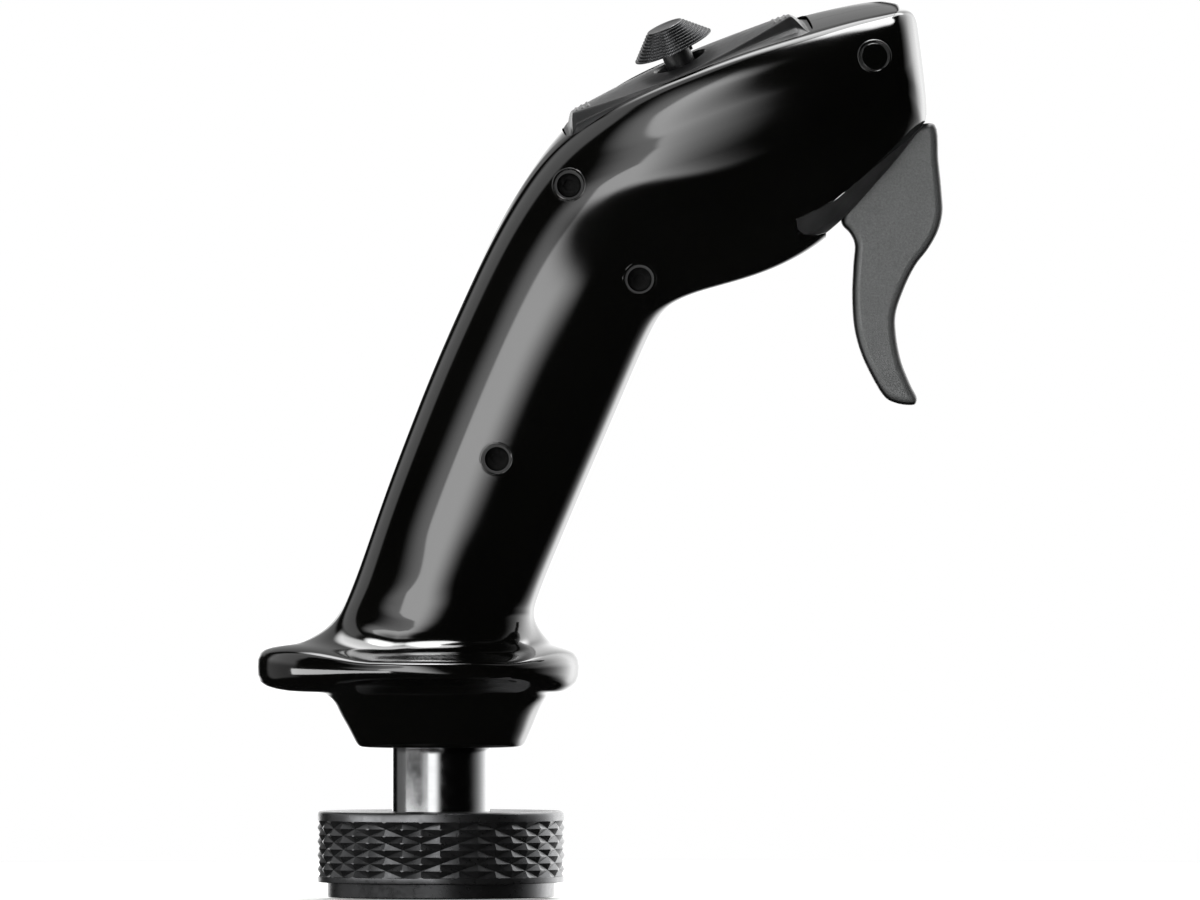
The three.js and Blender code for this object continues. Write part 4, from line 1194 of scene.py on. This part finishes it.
def build_nut():
    columns = KNURL_DIAMONDS * KNURL_STEP
    rows = KNURL_ROWS * KNURL_STEP
    ring_r, ring_high, thread_r, pitch = 28.4, 3.75, 18.4, 2.0
    lip_r, lip = STEM_R + 0.5, NUT_TOP - 3.2
    foot = [
        (thread_r, 0.9), (thread_r + 1.4, 0), (ring_r, 0), (ring_r, ring_high), (NUT_R, ring_high),
        (NUT_R, KNURL_LOW),
    ]
    lower = [*rounded_corners(foot, (0.2, 0.5, 0.15, 0.3), 3), (NUT_R, KNURL_LOW - 0.12)]
    knurl_high = KNURL_LOW + KNURL_PITCH * KNURL_ROWS
    head = [
        (NUT_R, knurl_high), (NUT_R, NUT_TOP), (lip_r, NUT_TOP), (lip_r, lip), (thread_r, lip),
        (thread_r, 0.9),
    ]
    upper = [(NUT_R, knurl_high + 0.12), *rounded_corners(head, (0.9, 0.6, 0.3, 0.4), 3)]
    rings = [circle(r, z, columns) for r, z in lower]
    for m in range(rows + 1):
        radius = np.array([NUT_R - knurl_depth(m, k) for k in range(columns)])
        rings.append(circle(radius, KNURL_LOW + KNURL_PITCH * m / KNURL_STEP, columns))
    first_knurl = len(lower)
    rings += [circle(r, z, columns) for r, z in upper]
    thread_rows, thread_high, thread_low = 40, 11.2, 0.95
    for m in range(thread_rows + 1):
        z = thread_high - (thread_high - thread_low) * m / thread_rows
        turn = (z / pitch + np.arange(columns) / columns) % 1
        depth = np.clip(1.7 * (0.5 - np.abs(turn - 0.5)) * 2 - 0.35, 0, 1) * 0.62
        depth = depth * float(smooth(thread_high, 10.2, z)) * float(smooth(thread_low, 1.4, z))
        rings.append(circle(thread_r + depth, z, columns))
    points, sides = lofted(rings, joined_ends=True)
    faces = []
    for place, side in enumerate(sides):
        m, k = place // columns - first_knurl, place % columns
        low_left, low_right, high_right, high_left = side
        if 0 <= m < rows and (k + m) % 2:
            faces += [(low_left, low_right, high_left), (low_right, high_right, high_left)]
        elif 0 <= m < rows:
            faces += [(low_left, low_right, high_right), (low_left, high_right, high_left)]
        else:
            faces.append(side)
    show("knurled_nut", facing_out(points, faces), "anodised_metal", ["coupling_nut"], "nut", sharp=16)


# ---- electronics ----
BOARD_CENTRE = (25.5, 134)
BOARD_TILT = math.atan2(0.36, 0.93)
BOARD_FACE = 2.5
BOARD_T = 1.6
BOARD_SCREW_SPACING = 12.5
BOARD_SCREW_R = 1.2
BOARD_HOLE_R = 1.5
LEADS = {  # for each node: the radius, the name of the piece and the route
    "wiring_loom": (1.5, "stem_loom", [
        (0, 0, 22.6), (0, 0, 45), (0.5, 0, 64), (1.5, -1, 85), (3.5, -1, 104), (8, -1, 116), (11.4, 0, 121.4),
    ]),
    "hat_lead": (0.9, "hat_wire", [
        (33.8, 1, 151.6), (39, 0, 163), (49, 0, 175), (57.5, 0, 182.8), (64.8, 0, 189.2),
    ]),
    "trigger_lead": (0.7, "trigger_wire", [
        (70.5, 3, 192), (78, 3, 189.5), (87, 3, 192), (93, 3, 195.8), (98.6, 3, 197.2),
    ]),
}


def on_board(shape):
    """A shape laid out on the leaning main board."""
    cos, sin = math.cos(BOARD_TILT), math.sin(BOARD_TILT)
    return laid(shape, (BOARD_CENTRE[0], 0, BOARD_CENTRE[1]), (cos, 0, -sin), (0, 1, 0), (sin, 0, cos))


def build_main_board():
    plate = brick((-12, 12), (BOARD_FACE, BOARD_FACE + BOARD_T), (-16, 16), edge=0.2)
    places = [((-9, -6), (4, 7)), ((5, 8), (-9, -7)), ((5, 9), (7, 12)), ((-10, -8.4), (-3, 1))]
    small_parts = [brick(x, (BOARD_FACE - 0.9, BOARD_FACE + 0.3), z, edge=0.15) for x, z in places]
    plate = on_board(united(plate, joined(*small_parts)))
    under = BOARD_FACE - GAP
    for i, end in enumerate((-1, 1)):
        offset = end * BOARD_SCREW_SPACING
        x, z = BOARD_CENTRE + offset * np.array([math.sin(BOARD_TILT), math.cos(BOARD_TILT)])
        plate = cut(plate, post(BOARD_HOLE_R, -10, 10, (x, z), 32))
        shank = post(BOARD_SCREW_R, BOARD_FACE - 1, 10.5, (x, z), 32)
        screw = united(post(2.4, BOARD_FACE - 1.9, under, (x, z), 48), shank)
        for long, wide in ((1.3, 0.3), (0.3, 1.3)):
            screw = cut(screw, brick((x - long, x + long), (-2, 1.2), (z - wide, z + wide)))
        show(f"pan_screw_{i + 1}", screw, "bright_steel", [f"board_screw_{i + 1}"])
    show("control_board", plate, "circuit_board", ["main_board"])
    chip = brick((-3.5, 3.5), (BOARD_FACE - 1.6, under), (-3, 4), edge=0.2)
    legs = []
    for z in np.arange(-2.4, 3.6, 1):
        legs.append(brick((-4.3, 4.3), (BOARD_FACE - 0.75, under), (z - 0.2, z + 0.2), edge=0.05))
    show("processor", on_board(united(chip, joined(*legs))), "satin_trim", ["controller_chip"])
    socket = brick((-11, -4.5), (BOARD_FACE - 5, under), (-13.5, -7.5), edge=0.35)
    deep = (BOARD_FACE - 6, BOARD_FACE - 1.5)
    ways = [brick((x, x + 1.3), deep, (-12.6, -8.4)) for x in (-10.3, -8.4, -6.5)]
    show("loom_socket", on_board(cut(socket, joined(*ways))), "nylon", ["loom_header"])


def build_sensors():
    hat_board = brick((-10, 10), (-10, 10), (-18.6, -17.1), edge=0.2)
    show("hat_sensor_board", decked(hat_board), "circuit_board", ["hat_board"])
    sensor = brick(*zip(*stick_box("trigger_sensor_board")), edge=0.2)
    show("trigger_sensor", sensor, "circuit_board", ["trigger_sensor_board"])
    for node, (radius, name, route) in LEADS.items():
        show(name, tube_along(spline(route, 10, closed=False), radius), "rubber", [node], sharp=60)
    stop = brick(*zip(*stick_box("trigger_bumper")), edge=0.4, steps=3)
    show("trigger_stop", stop, "rubber", ["trigger_bumper"])
    low, high = stick_box("trigger_magnet")
    x, y, _ = (low + high) / 2
    magnet = moved(rod((high[0] - low[0]) / 2, low[2], high[2], 40, 0.2), (x, y, 0))
    show("sensor_magnet", magnet, "bright_steel", ["trigger_magnet"], "trigger")


build_shells()
build_fasteners()
build_trigger()
build_thumb_plate()
build_hat()
build_stem()
build_nut()
build_main_board()
build_sensors()


# ---- floor, camera and light ----
OBJECT_CENTRE = Vector((0.03975, 0, 0.09875))  # metres, in the row frame, as are the lines below
FLOOR_R = 0.45
FLOOR_DROP = 0.0004  # keeps the floor clear of the nut


def build_floor():
    work = bmesh.new()
    bmesh.ops.create_circle(work, cap_ends=True, segments=128, radius=FLOOR_R)
    for v in work.verts:
        v.co += Vector((OBJECT_CENTRE.x, 0, NUT_LOW - FLOOR_DROP))
    mesh = bpy.data.meshes.new("floor")
    work.to_mesh(mesh)
    work.free()
    mesh.materials.append(pale_floor())
    floor = bpy.data.objects.new("floor", mesh)
    bpy.context.scene.collection.objects.link(floor)
    floor.visible_glossy = False


def build_camera():
    data = bpy.data.cameras.new("camera")
    data.sensor_width = 36
    data.lens = 600
    data.clip_end = 100
    camera = bpy.data.objects.new("camera", data)
    camera.location = OBJECT_CENTRE + Vector((0, -5, 0))
    camera.rotation_euler = (math.pi / 2, 0, 0)
    bpy.context.scene.collection.objects.link(camera)
    bpy.context.scene.camera = camera


def build_low_softbox():
    """A low softbox close to the stem and the coupling nut, below the reach of the grip's reflections."""
    width, tall, distance, height = 0.34, 0.05, 0.3, 0.033
    azimuth = math.radians(-60)  # 0 is the camera's side
    data = bpy.data.lights.new("low_softbox", "AREA")
    data.shape = "RECTANGLE"
    data.size, data.size_y = width, tall
    data.energy = LOW_RADIANCE * math.pi * width * tall
    data.spread = math.pi
    light = bpy.data.objects.new("low_softbox", data)
    away = Vector((math.sin(azimuth), -math.cos(azimuth), 0))
    light.location = OBJECT_CENTRE + away * distance
    light.location.z = NUT_LOW + height
    light.rotation_euler = away.to_track_quat("Z", "Y").to_euler()
    light.visible_camera = False
    bpy.context.scene.collection.objects.link(light)


class Studio(NodeTree):
    """The light round the stick, by direction. Azimuth 0 is the camera's side and 90 the front."""

    def __init__(self):
        self.world = bpy.data.worlds.new("studio")
        self.world.use_nodes = True
        super().__init__(self.world.node_tree)
        ahead = self.add("SeparateXYZ", Vector=self.add("TexCoord").outputs["Generated"]).outputs
        toward_camera = self.maths("MULTIPLY", ahead["Y"], -1)
        self.azimuth = self.maths("DEGREES", self.maths("ARCTAN2", ahead["X"], toward_camera))
        self.elevation = self.maths("DEGREES", self.maths("ARCSINE", ahead["Z"]))
        self.total = 0.006  # what comes from everywhere

    def ramp(self, value, start, end):
        """0 at the start and 1 at the end, with a soft slope between them."""
        node = self.add("MapRange", Value=value, From_Min=start, From_Max=end)
        node.interpolation_type = "SMOOTHSTEP"
        return node.outputs["Result"]

    def beyond(self, edge):
        """Degrees of azimuth past an edge, given as (elevation, azimuth) points."""
        node = self.add("FloatCurve", Value=self.maths("MULTIPLY_ADD", self.elevation, 1 / 180, 0.5))
        curve = node.mapping.curves[0]
        while len(curve.points) < len(edge):
            curve.points.new(0.5, 0.5)
        for point, (elevation, azimuth) in zip(curve.points, edge):
            point.location = (elevation / 180 + 0.5, azimuth / 360 + 0.5)
            point.handle_type = "VECTOR"
        node.mapping.update()
        place = self.maths("MULTIPLY_ADD", node.outputs[0], 360, -180)
        return self.maths("SUBTRACT", self.azimuth, place)

    def card(self, radiance, left, right, elevations, soft, lean=0):
        """A sheet of light between two edges. Soft is the width of its left, right and level edges.

        Its low edge drops by lean degrees for each degree of azimuth.
        """
        low, high = elevations
        from_left, from_right = self.beyond(left), self.beyond(right)
        across = self.maths("MULTIPLY", self.ramp(from_left, 0, soft[0]), self.ramp(from_right, 0, -soft[1]))
        slanted = self.maths("MULTIPLY_ADD", self.azimuth, lean, self.elevation)
        above_low = self.ramp(slanted, low, low + soft[2])
        upward = self.maths("MULTIPLY", above_low, self.ramp(self.elevation, high, high - soft[2]))
        self.total = self.maths("MULTIPLY_ADD", self.maths("MULTIPLY", across, upward), radiance, self.total)

    def finish(self):
        """White to the eye, whatever the studio is like."""
        studio = self.tree.nodes["Background"]
        studio.inputs["Color"].default_value = (1, 1, 1, 1)
        self.fill(studio.inputs["Strength"], self.total)
        white = self.add("Background", Color=(1, 1, 1, 1))
        mix = self.add("MixShader", Fac=self.add("LightPath").outputs["Is Camera Ray"])
        self.fill(mix.inputs[1], studio.outputs[0])
        self.fill(mix.inputs[2], white.outputs[0])
        self.fill(self.tree.nodes["World Output"].inputs["Surface"], mix.outputs[0])
        bpy.context.scene.world = self.world


def upright_edge(azimuth):
    return [(-90, azimuth), (90, azimuth)]


# The edges of the key and of the front sheet, as (elevation, azimuth) in degrees.
KEY_LEFT = [
    (-90, -32), (10, -32), (20, -20), (33, -21), (42, -26), (47, -34), (54, -44), (59, -52), (90, -54),
]
KEY_RIGHT = [
    (-90, 12), (-11, 10), (-5, 7), (2, 4), (20, 0), (30, -3), (46, -10), (55, -21), (62, -29), (90, -32),
]
KEY_LEAN = 0.43
KEY_ELEVATIONS = (-14, 69)
FRONT_LEFT = [(-90, 105), (-22, 105), (-8, 82), (2, 82), (12, 66), (90, 66)]
LOW_RADIANCE = 9


def build_world():
    studio = Studio()
    glow_left = [(elevation, azimuth - 30) for elevation, azimuth in KEY_LEFT]
    front_rim = [(elevation, azimuth + 22) for elevation, azimuth in FRONT_LEFT]
    rear_left, rear_right, back = upright_edge(-132), upright_edge(-86), upright_edge(-180)
    # The key on the camera's side, with a soft glow to its left.
    studio.card(4.4, KEY_LEFT, KEY_RIGHT, KEY_ELEVATIONS, (2, 19, 6), KEY_LEAN)
    studio.card(2.6, glow_left, KEY_RIGHT, KEY_ELEVATIONS, (30, 19, 6), KEY_LEAN)
    # Faint sheets at the rear of the stick, and bright ones at its front.
    studio.card(0.4, rear_left, rear_right, (-25, 75), (10, 6, 8))
    studio.card(0.7, rear_left, rear_right, (3, 75), (10, 6, 8))
    studio.card(2.4, FRONT_LEFT, upright_edge(180), (-30, 75), (50, 1, 15))
    studio.card(2.6, front_rim, upright_edge(158), (-30, 75), (42, 22, 15))
    # Behind the stick, low and high.
    studio.card(2.4, back, upright_edge(-152), (-15, 16), (1, 10, 9))
    studio.card(0.5, back, upright_edge(-140), (8, 60), (1, 10, 8))
    # Overhead, and high up behind to the left and to the right.
    studio.card(20, back, upright_edge(60), (76, 96), (1, 30, 4))
    studio.card(8, back, upright_edge(-125), (46, 96), (1, 20, 12))
    studio.card(8, upright_edge(125), upright_edge(180), (46, 96), (20, 1, 12))
    studio.finish()


scene = bpy.context.scene
scene.view_settings.view_transform = "Standard"
scene.view_settings.look = "None"
build_floor()
build_camera()
build_world()
build_low_softbox()
